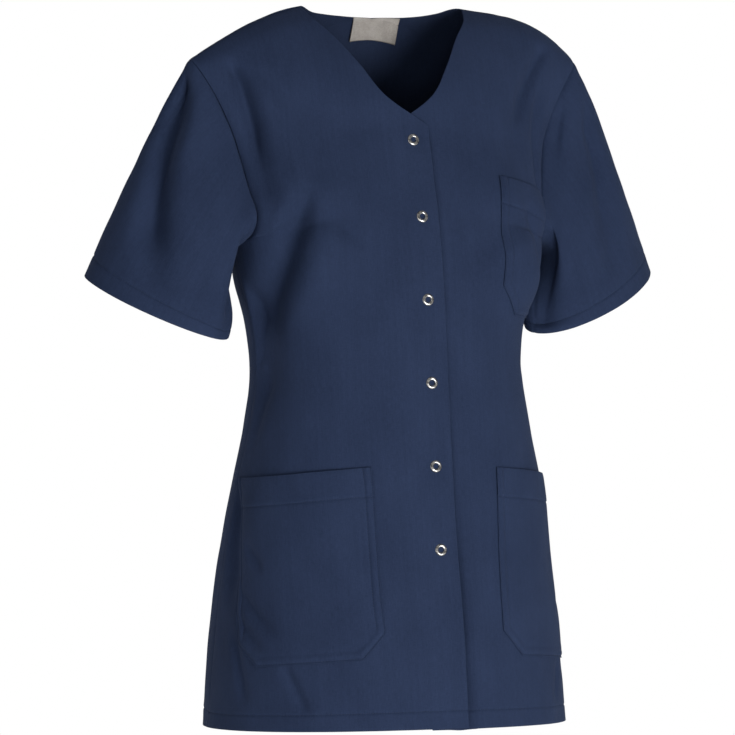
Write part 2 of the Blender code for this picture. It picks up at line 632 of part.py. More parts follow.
def cuff_ring(side, share):
    """Points of the cuff at these shares of the way round, and the way down the sleeve there."""
    c = dict(zip(CUFF, next(row for row in CUFFS if row[0] == side)))
    plan, slope, lean, dip = (math.radians(c[k]) for k in ("plan", "slope", "lean", "dip"))
    # long axis from the inner front low end to the outer back high end
    flat = np.array([side * math.cos(plan), math.sin(plan), 0.0])
    long_axis = flat * math.cos(slope) + np.array([0.0, 0.0, math.sin(slope)])
    axis = np.array([side * math.sin(lean), 0.0, -math.cos(lean)])
    axis -= long_axis * float(axis @ long_axis)
    axis /= np.linalg.norm(axis)
    front_axis = np.cross(long_axis, axis)
    front_axis *= -np.sign(front_axis[1])
    front_axis = front_axis * math.cos(dip) + axis * math.sin(dip)
    turn = 2 * math.pi * share
    ring = np.array([side * c["x"], c["y"], c["z"]]) + np.outer(np.cos(turn) * c["half_long"], long_axis)
    return ring + np.outer(np.sin(turn) * c["half_deep"], front_axis), axis


def sleeve_surface(side):
    """Outer points of a sleeve and its ways through: loops from the armhole down to the cuff."""
    ring, heading, under = armhole(side)
    # the last point of the ring lies beside the first one, on the back of the shoulder seam
    ring[0] = (ring[0] + ring[-1]) / 2
    ring, heading = ring[:-1], heading[:-1]
    count = len(ring)
    step = np.linalg.norm(np.diff(np.vstack([ring, ring[:1]]), axis=0), axis=1)
    run = np.concatenate([[0.0], np.cumsum(step)])
    share = np.empty(count)
    share[: under + 1] = run[: under + 1] / run[under] / 2
    share[under:] = 0.5 + (run[under:-1] - run[under]) / (run[-1] - run[under]) / 2
    leave = periodic(LEAVINGS[side], share)
    way = np.stack([side * leave[:, 0], -leave[:, 1], -leave[:, 2]], 1)
    way /= np.linalg.norm(way, axis=1, keepdims=True)
    cuff, axis = cuff_ring(side, share)
    reach = np.linalg.norm(cuff - ring, axis=1)[:, None]
    gap = SEAM_GAP * (HEAD_GAP + HEAD_GAP_MORE * np.sin(math.pi * share) ** 2)
    start = ring + way * gap[:, None]
    first = start + way * leave[:, 3:] * reach
    second = cuff - axis * CUFF_HANDLE * reach
    rings = []
    for s in SLEEVE_STEPS:
        rings.append(
            start * (1 - s) ** 3 + first * 3 * s * (1 - s) ** 2 + second * 3 * s**2 * (1 - s) + cuff * s**3
        )
    grid = np.array(rings)
    normal = loop_normals(grid)
    down = np.repeat(np.array(SLEEVE_STEPS)[:, None], count, axis=1)
    around = np.repeat(share[None, :], len(SLEEVE_STEPS), axis=0)
    depth = np.zeros_like(down)
    for row in SLEEVE_FOLDS:
        f = dict(zip(SLEEVE_FOLD, row))
        if f["side"] != side:
            continue
        s = np.clip((down - f["down_a"]) / (f["down_b"] - f["down_a"]), 0, 1)
        off = around - (f["share_a"] + (f["share_b"] - f["share_a"]) * s)
        ends = smooth_step(down, f["down_a"] - SLEEVE_FOLD_IN, f["down_a"] + SLEEVE_FOLD_IN)
        ends *= 1 - smooth_step(down, f["down_b"] - SLEEVE_FOLD_OUT[0], f["down_b"] + SLEEVE_FOLD_OUT[1])
        depth += f["depth"] * np.exp(-((off / f["width"]) ** 2)) * ends
    grid = grid - normal * depth[..., None]
    inward = -loop_normals(grid)
    # at the armhole the way through doesn't lean back into the body's cloth
    back = (inward[0] * heading).sum(1)
    inward[0] -= heading * np.minimum(back, 0)[:, None]
    inward /= np.linalg.norm(inward, axis=2, keepdims=True)
    return grid, inward


def loop_normals(grid):
    around = np.roll(grid, -1, axis=1) - np.roll(grid, 1, axis=1)
    down = np.gradient(grid, axis=0)
    n = np.cross(around, down)
    n /= np.linalg.norm(n, axis=2, keepdims=True)
    middle = grid.mean(axis=1, keepdims=True)
    sign = np.sign((n * (grid - middle)).sum())
    return n * sign


def build_sleeve(name, side, material):
    """One wall all round, open at the armhole and at the cuff."""
    grid, inward = sleeve_surface(side)
    rows, count = grid.shape[:2]
    inner = grid + inward * WALL
    triangles = []
    for i in range(rows - 1):
        for j in range(count):
            a, b = i * count + j, i * count + (j + 1) % count
            triangles += [(a, b, b + count), (a, b + count, a + count)]
    wall_solid(name, grid.reshape(-1, 3), inner.reshape(-1, 3), triangles, material)


# ---------------------------------------------------------------- label and press studs
LABEL_HALF_WIDTH, LABEL_DROP, LABEL_SHIFT = 0.0265, 0.019, 0.006
LABEL_TOP, LABEL_TOP_RISE = 0.0170, 1.11  # its top edge in the middle, and how it rises to its ends (1/m)
LABEL_COLUMNS, LABEL_ROWS = 9, 5
LINE_FROM, LINE_TO = -0.5, 0.46  # the lines that find the cloth run from here in front to here behind


def hits(tree, x, z):
    """Where a straight line from the front meets a piece at x and z."""
    found, y = [], LINE_FROM
    while True:
        point, normal, index, gap = tree.ray_cast(Vector((x, y, z)), Vector((0, 1, 0)), LINE_TO - y)
        if point is None:
            return found
        found.append((np.array(point), np.array(normal)))
        y = point[1] + 1e-5


def tree_of(name):
    return BVHTree.FromObject(bpy.data.objects[name], bpy.context.evaluated_depsgraph_get())


def build_label(name, material):
    """A strip caught under the back neck, lying on the inside of the back."""
    back = tree_of("back")
    base, face = [], []
    for i in range(LABEL_ROWS):
        for j in range(LABEL_COLUMNS):
            x = LABEL_SHIFT + LABEL_HALF_WIDTH * (2 * j / (LABEL_COLUMNS - 1) - 1)
            top = LABEL_TOP + LABEL_TOP_RISE * x**2
            point, normal = hits(back, x, top - LABEL_DROP * i / (LABEL_ROWS - 1))[0]
            base.append(point + normal * SEAM_GAP)
            face.append(point + normal * (SEAM_GAP + LABEL_WALL))
    triangles = grid_triangles(LABEL_ROWS, LABEL_COLUMNS)
    wall_solid(name, np.array(face), np.array(base), triangles, material)


def build_ring(name, centre, n, up, across, profile, sides, material):
    """A ring turned from a closed profile of (radius, height along n)."""
    points, faces = [], []
    for k in range(sides):
        a = 2 * math.pi * k / sides
        radial = across * math.cos(a) + up * math.sin(a)
        points += [centre + radial * r + n * h for r, h in profile]
    m = len(profile)
    for k in range(sides):
        p, q = k * m, (k + 1) % sides * m
        for i in range(m):
            j = (i + 1) % m
            faces += [(p + i, p + j, q + j), (p + i, q + j, q + i)]
    new_object(name, points, faces, material)


# Profiles as (radius, height over the cloth), and how many sides each ring has.
CAP_PROFILE = ((0.0026, 0.0), (0.0030, 0.0008), (0.0040, 0.0011), (0.0052, 0.0007), (0.0057, 0.0))
POST_PROFILE = ((0.0014, 0.0), (0.0014, 0.0018), (0.0048, 0.0018), (0.0030, 0.0009), (0.0048, 0.0))
BACK_PROFILE = ((0.0026, 0.0), (0.0029, 0.0007), (0.0046, 0.0007), (0.0054, 0.0))
CAP_SIDES, POST_SIDES, BACK_SIDES = 18, 10, 12
STUD_RADIUS = 0.0057
STUD_GAP = SEAM_GAP + 0.0001
COMPASS = ((1, 0), (0, 1), (-1, 0), (0, -1))


def facing(tree, which, x, z):
    """Centre and normal of the cloth, and how far it bulges over or sinks under that plane within a stud."""
    centre = hits(tree, x, z)[which][0]
    a = [hits(tree, x + STUD_RADIUS * dx, z + STUD_RADIUS * dz)[which][0] for dx, dz in COMPASS]
    n = np.cross(a[0] - a[2], a[1] - a[3])
    n /= np.linalg.norm(n)
    n = n if n[1] < 0 else -n
    rim = [float((p - centre) @ n) for p in a]
    return centre, n, max(0.0, *rim), min(0.0, *rim)


def build_studs(material):
    """Each stud is a cap over the right front, a post over the left front and a ring inside it."""
    right, left = tree_of("right_front"), tree_of("left_front")
    for k in range(STUDS):
        z = FIRST_STUD_Z - (FIRST_STUD_STEP + STUD_PITCH * (k - 1) if k else 0.0)
        for piece, tree, which, profile, sides, sign in (
            ("cap", right, 0, CAP_PROFILE, CAP_SIDES, 1),
            ("post", left, 0, POST_PROFILE, POST_SIDES, 1),
            ("back", left, 1, BACK_PROFILE, BACK_SIDES, -1),
        ):
            centre, n, over, sunk = facing(tree, which, 0.0, z)
            up = np.array([0.0, 0.0, 1.0]) - n * n[2]
            up /= np.linalg.norm(up)
            across = np.cross(up, n) * sign
            lift = STUD_GAP + (over if sign > 0 else -sunk)
            name = "stud_%s_%d" % (piece, k + 1)
            build_ring(name, centre + n * sign * lift, n * sign, up, across, profile, sides, material)


# ---------------------------------------------------------------- the tunic
for old in list(bpy.data.objects):
    bpy.data.objects.remove(old, do_unlink=True)

navy = cloth_material("navy_poly_cotton", CLOTH_NAVY, 0.85, 0.0)
label_grey = cloth_material("label_satin", LABEL_GREY, 0.6, 0.0)
nickel = cloth_material("nickel", NICKEL, 0.3, 1.0)

build_front("right_front", -1, navy)
build_front("left_front", 1, navy)
build_back("back", navy)
build_sleeve("right_sleeve", -1, navy)
build_sleeve("left_sleeve", 1, navy)
build_pocket("right_pocket", -1, POCKET_LOW, POCKET_CUT, POCKET_TOP, HIP_COLUMNS, navy)
build_pocket("left_pocket", 1, POCKET_LOW, POCKET_CUT, POCKET_TOP, HIP_COLUMNS, navy)
build_pocket("chest_pocket", 1, CHEST_LOW, CHEST_CUT, CHEST_TOP, CHEST_COLUMNS, navy)
build_label("neck_label", label_grey)
build_studs(nickel)
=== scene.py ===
"""A women's work tunic in navy poly-cotton: V-neck, press studs, short sleeves, three patch pockets."""

import math

import bpy
import numpy as np
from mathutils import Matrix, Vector
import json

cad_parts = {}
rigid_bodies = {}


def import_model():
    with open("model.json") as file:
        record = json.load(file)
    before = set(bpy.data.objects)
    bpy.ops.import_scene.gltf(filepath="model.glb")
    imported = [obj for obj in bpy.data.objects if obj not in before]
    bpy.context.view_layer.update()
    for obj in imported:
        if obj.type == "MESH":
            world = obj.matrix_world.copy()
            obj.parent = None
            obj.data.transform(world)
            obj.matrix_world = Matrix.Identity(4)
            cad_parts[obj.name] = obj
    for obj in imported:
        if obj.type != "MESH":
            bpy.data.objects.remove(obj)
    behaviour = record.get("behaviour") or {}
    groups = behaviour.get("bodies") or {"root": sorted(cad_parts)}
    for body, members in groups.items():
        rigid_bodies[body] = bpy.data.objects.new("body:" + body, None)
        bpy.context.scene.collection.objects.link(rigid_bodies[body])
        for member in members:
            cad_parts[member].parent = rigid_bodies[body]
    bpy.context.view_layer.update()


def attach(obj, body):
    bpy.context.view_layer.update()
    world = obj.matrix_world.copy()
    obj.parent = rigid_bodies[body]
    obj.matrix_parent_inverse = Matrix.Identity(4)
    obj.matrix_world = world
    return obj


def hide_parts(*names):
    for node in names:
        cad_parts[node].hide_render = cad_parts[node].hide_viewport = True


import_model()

# ================================================================ right front
# The wearer's right front, cut in one piece of navy poly-cotton with a facing turned in along the front edge
# and neck. It laps over the left front, and its bust fullness falls in one long soft fold to the side seam.
SHELL = 0.0009  # the cloth as it looks at an edge
FACING, FACING_MORE = 0.052, 0.0004  # width of the turned-in facing and what it adds to the wall
HEM_LINE, HEM_MORE = 0.0170, 0.0005  # the hem's stitch line above the edge, and what the turned-up hem adds
OVERLAP = 0.018  # the front edge lies this far past the centre front
LAP_GAP, CAD_WALL = 0.0032, 0.0014
LAP_FULL, LAP_END = 0.024, 0.075
SEAM_GAP = 0.0001
NAVY = (0.0320, 0.0505, 0.1120)
NAVY_DEEP = (0.0140, 0.0240, 0.0580)
INSIDE_PAINTED_SHADE = 0.72  # the inner layer of every panel is painted darker by this factor: painted shade for the shadow inside the garment

SECTION = (
    "x_in", "y_in", "z_in", "x_out", "y_out", "z_out",
    "turn_in", "turn_out", "reach_in", "reach_out", "fall_in", "fall_out",
)
# The sections, from the front's hem over the shoulder to the back's hem. Between them the surface is smooth.
ROWS = (
    ("hem", -0.018, -0.1630, -0.7055, 0.1930, 0.008, -0.7095, 0, 96, 0.49, 0.36, 0.00, 0.00),
    ("pocket_low", -0.018, -0.1550, -0.6330, 0.1880, 0.008, -0.648, 0, 96, 0.49, 0.36, 0.00, 0.00),
    ("hip", -0.018, -0.1410, -0.5400, 0.1775, 0.009, -0.556, 0, 96, 0.49, 0.36, 0.00, 0.00),
    ("high_hip", -0.018, -0.1290, -0.4500, 0.1655, -0.001, -0.466, 0, 95, 0.50, 0.36, 0.00, 0.00),
    ("below_waist", -0.018, -0.1220, -0.3950, 0.1545, -0.006, -0.408, 0, 93, 0.50, 0.36, 0.00, 0.00),
    ("waist", -0.018, -0.1165, -0.3400, 0.1465, -0.008, -0.350, 0, 90, 0.50, 0.35, 0.00, 0.00),
    ("under_bust", -0.018, -0.1110, -0.2850, 0.1510, -0.006, -0.295, 0, 89, 0.52, 0.34, 0.00, 0.00),
    ("low_bust", -0.018, -0.1055, -0.2450, 0.1610, -0.004, -0.258, 0, 89, 0.57, 0.33, 0.00, 0.00),
    ("underarm", -0.018, -0.0965, -0.1950, 0.1680, 0.002, -0.215, 0, 92, 0.60, 0.31, 0.00, 0.10),
    ("armpit", -0.018, -0.0915, -0.1750, 0.1620, -0.030, -0.208, 0, 84, 0.55, 0.26, 0.00, 0.25),
    ("high_bust", -0.018, -0.0855, -0.1550, 0.1610, -0.045, -0.190, 0, 76, 0.52, 0.24, 0.00, 0.35),
    ("chest", -0.018, -0.0785, -0.1280, 0.1660, -0.036, -0.160, 0, 66, 0.48, 0.24, 0.05, 0.35),
    ("vee", -0.018, -0.0700, -0.0956, 0.1715, -0.0260, -0.1280, 0, 54, 0.45, 0.26, 0.10, 0.35),
    ("neck_low", 0.0290, -0.0635, -0.0635, 0.1780, -0.0205, -0.1020, 0, 45, 0.42, 0.28, 0.15, 0.36),
    ("neck_mid", 0.0500, -0.0520, -0.0330, 0.1905, -0.0170, -0.0730, 0, 34, 0.38, 0.30, 0.18, 0.38),
    ("neck_high", 0.0695, -0.0330, -0.0040, 0.2045, -0.0135, -0.0480, 0, 20, 0.35, 0.32, 0.18, 0.42),
    ("yoke", 0.0860, -0.0165, 0.0155, 0.2130, -0.0085, -0.0345, 0, 8, 0.34, 0.33, 0.16, 0.44),
    ("shoulder", 0.0930, 0.002, 0.0273, 0.2160, 0.000, -0.029, 0, 0, 0.33, 0.33, 0.15, 0.45),
    ("nape_side", 0.0700, 0.0190, 0.0225, 0.2090, 0.0180, -0.0410, 0, -18, 0.34, 0.33, 0.14, 0.42),
    ("nape_near", 0.0360, 0.0265, 0.0192, 0.1990, 0.0380, -0.0660, 0, -34, 0.36, 0.32, 0.10, 0.38),
    ("nape", 0.0000, 0.0280, 0.0180, 0.1890, 0.0535, -0.1000, 0, -46, 0.40, 0.30, 0.05, 0.36),
    ("upper_back", 0.000, 0.053, -0.0350, 0.1810, 0.058, -0.138, 0, -56, 0.44, 0.28, 0.02, 0.35),
    ("blades", 0.000, 0.074, -0.0850, 0.1760, 0.060, -0.168, 0, -66, 0.46, 0.26, 0.00, 0.35),
    ("low_blades", 0.000, 0.088, -0.1350, 0.1710, 0.046, -0.195, 0, -76, 0.50, 0.28, 0.00, 0.25),
    ("underarm_back", 0.000, 0.092, -0.1850, 0.1680, 0.002, -0.215, 0, -88, 0.50, 0.32, 0.00, 0.10),
    ("below_arm", 0.000, 0.087, -0.2400, 0.1610, -0.004, -0.258, 0, -91, 0.48, 0.34, 0.00, 0.00),
    ("small_of_back", 0.000, 0.080, -0.2900, 0.1510, -0.006, -0.295, 0, -91, 0.46, 0.35, 0.00, 0.00),
    ("waist_back", 0.000, 0.076, -0.3450, 0.1465, -0.008, -0.350, 0, -90, 0.45, 0.35, 0.00, 0.00),
    ("below_waist_back", 0.000, 0.087, -0.4020, 0.1545, -0.006, -0.408, 0, -87, 0.45, 0.35, 0.00, 0.00),
    ("high_hip_back", 0.000, 0.102, -0.4610, 0.1655, -0.001, -0.466, 0, -85, 0.45, 0.35, 0.00, 0.00),
    ("hip_back", 0.000, 0.120, -0.5510, 0.1775, 0.009, -0.556, 0, -84, 0.46, 0.36, 0.00, 0.00),
    ("low_back", 0.000, 0.126, -0.6430, 0.1880, 0.008, -0.648, 0, -84, 0.46, 0.36, 0.00, 0.00),
    ("hem_back", 0.000, 0.126, -0.7060, 0.1930, 0.008, -0.7095, 0, -84, 0.46, 0.36, 0.00, 0.00),
)
INNER_CORNERS = ("vee", "shoulder", "nape")
OUTER_CORNERS = ("underarm", "underarm_back")
SHOULDERS = {-1: (0.000, 0.001, 0.0, 0.0), 1: (0.004, 0.021, 0.004, 0.005)}
ROW_NAMES = [row[0] for row in ROWS]
ROW_VALUES = np.array([row[1:] for row in ROWS], float)
INNER_RUN = np.linalg.norm(np.diff(ROW_VALUES[:, 0:3], axis=0), axis=1)
OUTER_RUN = np.linalg.norm(np.diff(ROW_VALUES[:, 3:6], axis=0), axis=1)
STATIONS = np.concatenate([[0.0], np.cumsum((INNER_RUN + OUTER_RUN) / 2)])


def hermite(stations, values, at, corners):
    """A smooth curve through the values, which may turn sharply at the stations in corners."""
    span = np.diff(stations)
    slope = np.diff(values, axis=0) / span[:, None]
    share = (span[:-1] / (span[:-1] + span[1:]))[:, None]
    middle = slope[:-1] * (1 - share) + slope[1:] * share
    leaving = np.vstack([slope[:1], middle, slope[-1:]])
    arriving = leaving.copy()
    for row in corners:
        leaving[row] = slope[row]
        arriving[row] = slope[row - 1]
    i = np.clip(np.searchsorted(stations, at, side="right") - 1, 0, len(span) - 1)
    h = span[i][:, None]
    f = ((at - stations[i]) / span[i])[:, None]
    return (
        values[i] * (1 + 2 * f) * (1 - f) ** 2
        + leaving[i] * h * f * (1 - f) ** 2
        + values[i + 1] * f**2 * (3 - 2 * f)
        + arriving[i + 1] * h * f**2 * (f - 1)
    )


def station(name):
    return STATIONS[ROW_NAMES.index(name)]


def section_values(at):
    """The table's columns at any station, as arrays by name."""
    inner_corners = [ROW_NAMES.index(n) for n in INNER_CORNERS]
    outer_corners = [ROW_NAMES.index(n) for n in OUTER_CORNERS]
    level_corners = [i for i in inner_corners if i != ROW_NAMES.index("shoulder")]
    inner_x = hermite(STATIONS, ROW_VALUES[:, 0:1], at, inner_corners)
    inner = np.hstack([inner_x, hermite(STATIONS, ROW_VALUES[:, 1:3], at, level_corners)])
    outer = hermite(STATIONS, ROW_VALUES[:, 3:6], at, outer_corners)
    shape = hermite(STATIONS, ROW_VALUES[:, 6:], at, outer_corners)
    return dict(zip(SECTION, np.hstack([inner, outer, shape]).T))


def girth_at(at, along):
    """How far round from the centre front or the centre back each place lies."""
    return along + section_values(np.ravel(at))["x_in"].reshape(np.shape(at))


def section_handles(side, at):
    """The four points that shape each section, and the section's running length at 33 steps."""
    v = section_values(at)
    start = np.stack([v["x_in"], v["y_in"], v["z_in"]], 1)
    end = np.stack([v["x_out"], v["y_out"], v["z_out"]], 1)
    chord = np.linalg.norm((end - start)[:, :2], axis=1)
    drop = v["z_out"] - v["z_in"]
    first, second = start.copy(), end.copy()
    for point, turn, reach, way in ((first, "turn_in", "reach_in", 1), (second, "turn_out", "reach_out", -1)):
        angle = np.radians(v[turn])
        point[:, :2] += way * (v[reach] * chord)[:, None] * np.stack([np.cos(angle), np.sin(angle)], 1)
    raise_in, raise_out, end_out, end_up = SHOULDERS[side]
    over_shoulder = np.exp(-(((at - station("shoulder")) / 0.07) ** 2))
    first[:, 2] += v["fall_in"] * drop + raise_in * over_shoulder
    second[:, 2] -= v["fall_out"] * drop - raise_out * over_shoulder
    for point in (second, end):
        point[:, 0] += end_out * over_shoulder
        point[:, 2] += end_up * over_shoulder
    handles = np.stack([start, first, second, end], 1)
    f = np.linspace(0, 1, 33)
    curve = np.einsum("fk,nkc->nfc", weights(f), handles)
    steps = np.linalg.norm(np.diff(curve, axis=1), axis=2)
    return handles, np.concatenate([np.zeros((len(at), 1)), np.cumsum(steps, axis=1)], axis=1)


def weights(f):
    return np.stack([(1 - f) ** 3, 3 * f * (1 - f) ** 2, 3 * f**2 * (1 - f), f**3], -1)


def row_length(side, at):
    """How far it is along the section from its inner edge to its outer one."""
    return section_handles(side, np.ravel(at))[1][:, -1].reshape(np.shape(at))


def place(side, at, along):
    """Points of the bare surface: at is the station, along the distance from the inner edge."""
    shape = np.shape(at)
    at, along = np.ravel(at), np.ravel(along)
    handles, run = section_handles(side, at)
    i = np.clip((run <= along[:, None]).sum(1) - 1, 0, 31)
    row = np.arange(len(at))
    share = (along - run[row, i]) / (run[row, i + 1] - run[row, i])
    f = (i + np.clip(share, 0, 1)) / 32
    point = np.einsum("nk,nkc->nc", weights(f), handles)
    point[:, 0] *= side
    return point.reshape(shape + (3,))


def unit(v):
    return v / np.maximum(np.linalg.norm(v, axis=-1, keepdims=True), 1e-12)


def running_length(points):
    return np.concatenate([[0.0], np.cumsum(np.linalg.norm(np.diff(points, axis=0), axis=1))])


def bare(side, at, along):
    """Points and outward normals of the bare surface."""
    step = 0.0008
    low, high = np.maximum(at - step, 0), np.minimum(at + step, STATIONS[-1])
    length = row_length(side, at)
    across = place(side, at, np.minimum(along + step, length)) - place(side, at, np.maximum(along - step, 0))
    up = place(side, high, along) - place(side, low, along)
    point = place(side, at, along)
    return point, unit(np.cross(across, up)) * side


def smooth_step(value, low, high):
    f = np.clip((value - low) / (high - low), 0, 1)
    return f * f * (3 - 2 * f)


def drift(u, v, seed):
    """Smooth uneven numbers between about -1 and 1 over the plane, one swell to a unit."""
    rng = np.random.default_rng(seed)
    table = rng.uniform(-1, 1, (64, 64))
    i, j = np.floor(u).astype(int), np.floor(v).astype(int)
    fu, fv = u - i, v - j
    fu, fv = fu**3 * (fu * (6 * fu - 15) + 10), fv**3 * (fv * (6 * fv - 15) + 10)
    a, b = table[i % 64, j % 64], table[(i + 1) % 64, j % 64]
    c, d = table[i % 64, (j + 1) % 64], table[(i + 1) % 64, (j + 1) % 64]
    return (a * (1 - fu) + b * fu) * (1 - fv) + (c * (1 - fu) + d * fu) * fv


def trough(u, v, path, left, right, depth, ends=(0.25, 0.25)):
    """How deep a soft fold lies at each place: its path over the cloth, its width on either side, and how
    much of its length it takes to fade in and out. A width may be two numbers, for the start and the end."""
    path = np.array(path, float)
    steps = np.linalg.norm(np.diff(path, axis=0), axis=1)
    total, run = steps.sum(), 0.0
    best = np.full(np.shape(u), 1e9)
    along, beside = np.zeros(np.shape(u)), np.zeros(np.shape(u))
    for (a, b), step in zip(zip(path[:-1], path[1:]), steps):
        way = (b - a) / step
        s = np.clip(((u - a[0]) * way[0] + (v - a[1]) * way[1]), 0, step)
        du, dv = u - a[0] - s * way[0], v - a[1] - s * way[1]
        off = np.hypot(du, dv)
        near = off < best
        best = np.where(near, off, best)
        along = np.where(near, (run + s) / total, along)
        beside = np.where(near, np.sign(way[0] * dv - way[1] * du), beside)
        run += step
    left, right = np.broadcast_to(left, 2), np.broadcast_to(right, 2)
    left, right = (w[0] + (w[1] - w[0]) * along for w in (left, right))
    width = np.where(beside > 0, left, right)
    fade = smooth_step(along, -0.001, ends[0]) * (1 - smooth_step(along, 1 - ends[1], 1.001))
    return depth * fade * np.exp(-((best / width) ** 2))


# Broad folds that the solids have too: name, side, girth and height at both ends, width at both ends, depth.
FRONT_FOLDS = (
    ("dart_right", -1, 0.125, -0.170, 0.190, -0.345, 0.015, 0.026, 0.0075),
    ("dart_left", 1, 0.130, -0.170, 0.190, -0.340, 0.012, 0.024, 0.0045),
    ("armhole_right", -1, 0.182, -0.050, 0.160, -0.175, 0.016, 0.020, 0.0055),
    ("shoulder_left", 1, 0.165, -0.035, 0.120, -0.120, 0.010, 0.020, 0.0030),
    ("bust_right", -1, 0.095, -0.195, 0.115, -0.225, 0.045, 0.045, -0.0090),
    ("bust_left", 1, 0.105, -0.200, 0.130, -0.240, 0.045, 0.045, -0.0150),
)
# Finer creases: name, side, path as (girth, height), widths on either side, depth, fading ends.
FRONT_CREASES = (
    ("bust fold", -1, ((0.114, -0.150), (0.122, -0.170), (0.130, -0.200), (0.147, -0.236), (0.166, -0.264),
     (0.187, -0.294), (0.199, -0.320)), (0.020, 0.024), (0.009, 0.018), 0.0120, (0.25, 0.25)),
    ("fold crest", -1, ((0.094, -0.176), (0.104, -0.215), (0.122, -0.258), (0.148, -0.300), (0.172,
     -0.335)), 0.010, 0.014, -0.0016, (0.4, 0.3)),
    ("fold outer crest", -1, ((0.146, -0.190), (0.160, -0.222), (0.178, -0.256)), 0.010, 0.010, -0.0020,
     (0.3, 0.3)),
    ("armhole fold", -1, ((0.187, -0.026), (0.178, -0.056), (0.175, -0.082), (0.171, -0.112), (0.167,
     -0.145)), (0.006, 0.006), (0.008, 0.008), 0.0072, (0.15, 0.35)),
    ("armhole crest", -1, ((0.168, -0.030), (0.158, -0.060), (0.150, -0.100), (0.143, -0.140)), 0.009,
     0.010, -0.0020, (0.3, 0.4)),
    ("shoulder drag", -1, ((0.170, -0.030), (0.148, -0.055), (0.120, -0.086), (0.098, -0.108)), 0.009,
     0.011, 0.0020, (0.3, 0.4)),
    ("side fold", -1, ((0.197, -0.250), (0.198, -0.290), (0.199, -0.325), (0.204, -0.358), (0.210,
     -0.385)), 0.007, 0.010, 0.0070, (0.3, 0.3)),
    ("side ledge", -1, ((0.1856, -0.324), (0.195, -0.343), (0.204, -0.366), (0.212, -0.392), (0.222,
     -0.430)), 0.005, 0.010, -0.0034, (0.2, 0.5)),
    ("side hollow", -1, ((0.172, -0.345), (0.186, -0.372), (0.197, -0.402), (0.205, -0.435)), 0.008, 0.008,
     0.0030, (0.3, 0.4)),
    ("pocket side fold", -1, ((0.232, -0.450), (0.235, -0.500), (0.236, -0.550), (0.240, -0.600)), 0.010,
     0.016, 0.0085, (0.3, 0.4)),
    ("pocket crease", -1, ((0.212, -0.519), (0.204, -0.529), (0.195, -0.539), (0.185, -0.553)), 0.004,
     0.005, 0.0036, (0.3, 0.4)),
    ("pocket long crease", -1, ((0.224, -0.564), (0.208, -0.582), (0.193, -0.597), (0.169, -0.616)), 0.005,
     0.006, 0.0046, (0.3, 0.4)),
    ("pocket low crease", -1, ((0.226, -0.594), (0.214, -0.607), (0.201, -0.620), (0.192, -0.629)), 0.004,
     0.005, 0.0036, (0.3, 0.4)),
    ("hem drag", -1, ((0.174, -0.636), (0.167, -0.648), (0.157, -0.668), (0.144, -0.694)), 0.005, 0.006,
     0.0042, (0.3, 0.3)),
    ("side drag", -1, ((0.236, -0.604), (0.231, -0.625), (0.225, -0.650), (0.217, -0.688)), 0.005, 0.007,
     0.0044, (0.3, 0.3)),
    ("edge lift", -1, ((-0.018, -0.480), (-0.018, -0.600), (-0.018, -0.708)), 0.022, 0.022, -0.0032, (0.6,
     0.01)),
    ("shoulder fold", 1, ((0.190, -0.008), (0.175, -0.019), (0.156, -0.046), (0.140, -0.077), (0.119,
     -0.100)), (0.006, 0.010), (0.008, 0.014), 0.0060, (0.2, 0.4)),
    ("bust fold", 1, ((0.125, -0.165), (0.134, -0.190), (0.147, -0.225), (0.165, -0.270), (0.183, -0.315)),
     (0.006, 0.010), (0.006, 0.010), 0.0030, (0.2, 0.35)),
    ("armhole fold", 1, ((0.181, -0.040), (0.171, -0.070), (0.167, -0.105), (0.165, -0.150), (0.176,
     -0.195)), 0.007, 0.008, 0.0050, (0.3, 0.3)),
    ("waist drag", 1, ((0.190, -0.300), (0.168, -0.330), (0.142, -0.352)), 0.007, 0.009, 0.0030, (0.3,
     0.5)),
    ("pocket crease", 1, ((0.220, -0.560), (0.200, -0.585), (0.178, -0.606)), 0.005, 0.006, 0.0024, (0.3,
     0.4)),
    ("hem drag", 1, ((0.180, -0.642), (0.170, -0.660), (0.160, -0.690)), 0.005, 0.006, 0.0022, (0.3, 0.3)),
    ("edge gap", 1, ((0.0175, -0.094), (0.0180, -0.300), (0.0190, -0.500), (0.0200, -0.708)), (0.004,
     0.005), 0.014, 0.0046, (0.02, 0.01)),
    ("edge swing", 1, ((0.018, -0.440), (0.021, -0.580), (0.022, -0.708)), (0.006, 0.009), 0.014, 0.0085,
     (0.5, 0.01)),
)
TOP_STUD, FIRST_STEP, STUD_PITCH = -0.1098, 0.0790, 0.0843
STUD_HEIGHTS = [TOP_STUD] + [TOP_STUD - FIRST_STEP - STUD_PITCH * k for k in range(5)]
STUD_DIMPLE, STUD_REACH = 0.0013, 0.0085
STITCH_SINK, STITCH_REACH = 0.0008, 0.0011  # a row of stitches lies in a groove this deep and wide
SEAM_SINK, SEAM_REACH = 0.0004, 0.0022
HEM_PUCKER, HEM_SWING = 0.0005, 0.0013  # small waves at the hem's stitches, slow ones along its edge


def seam_pucker(run, off, seed, deep=0.00022, pitch=0.011, reach=0.008):
    """The small uneven waves that a row of stitches draws into cloth, run along it and off to either side."""
    wave = drift(run / pitch, np.zeros_like(run) + seed, seed) * 0.7
    wave += drift(run / pitch * 2.3, np.zeros_like(run) + seed + 7, seed) * 0.4
    return deep * wave * np.exp(-((off / reach) ** 2))


def groove(off):
    return STITCH_SINK * np.exp(-((off / STITCH_REACH) ** 2))


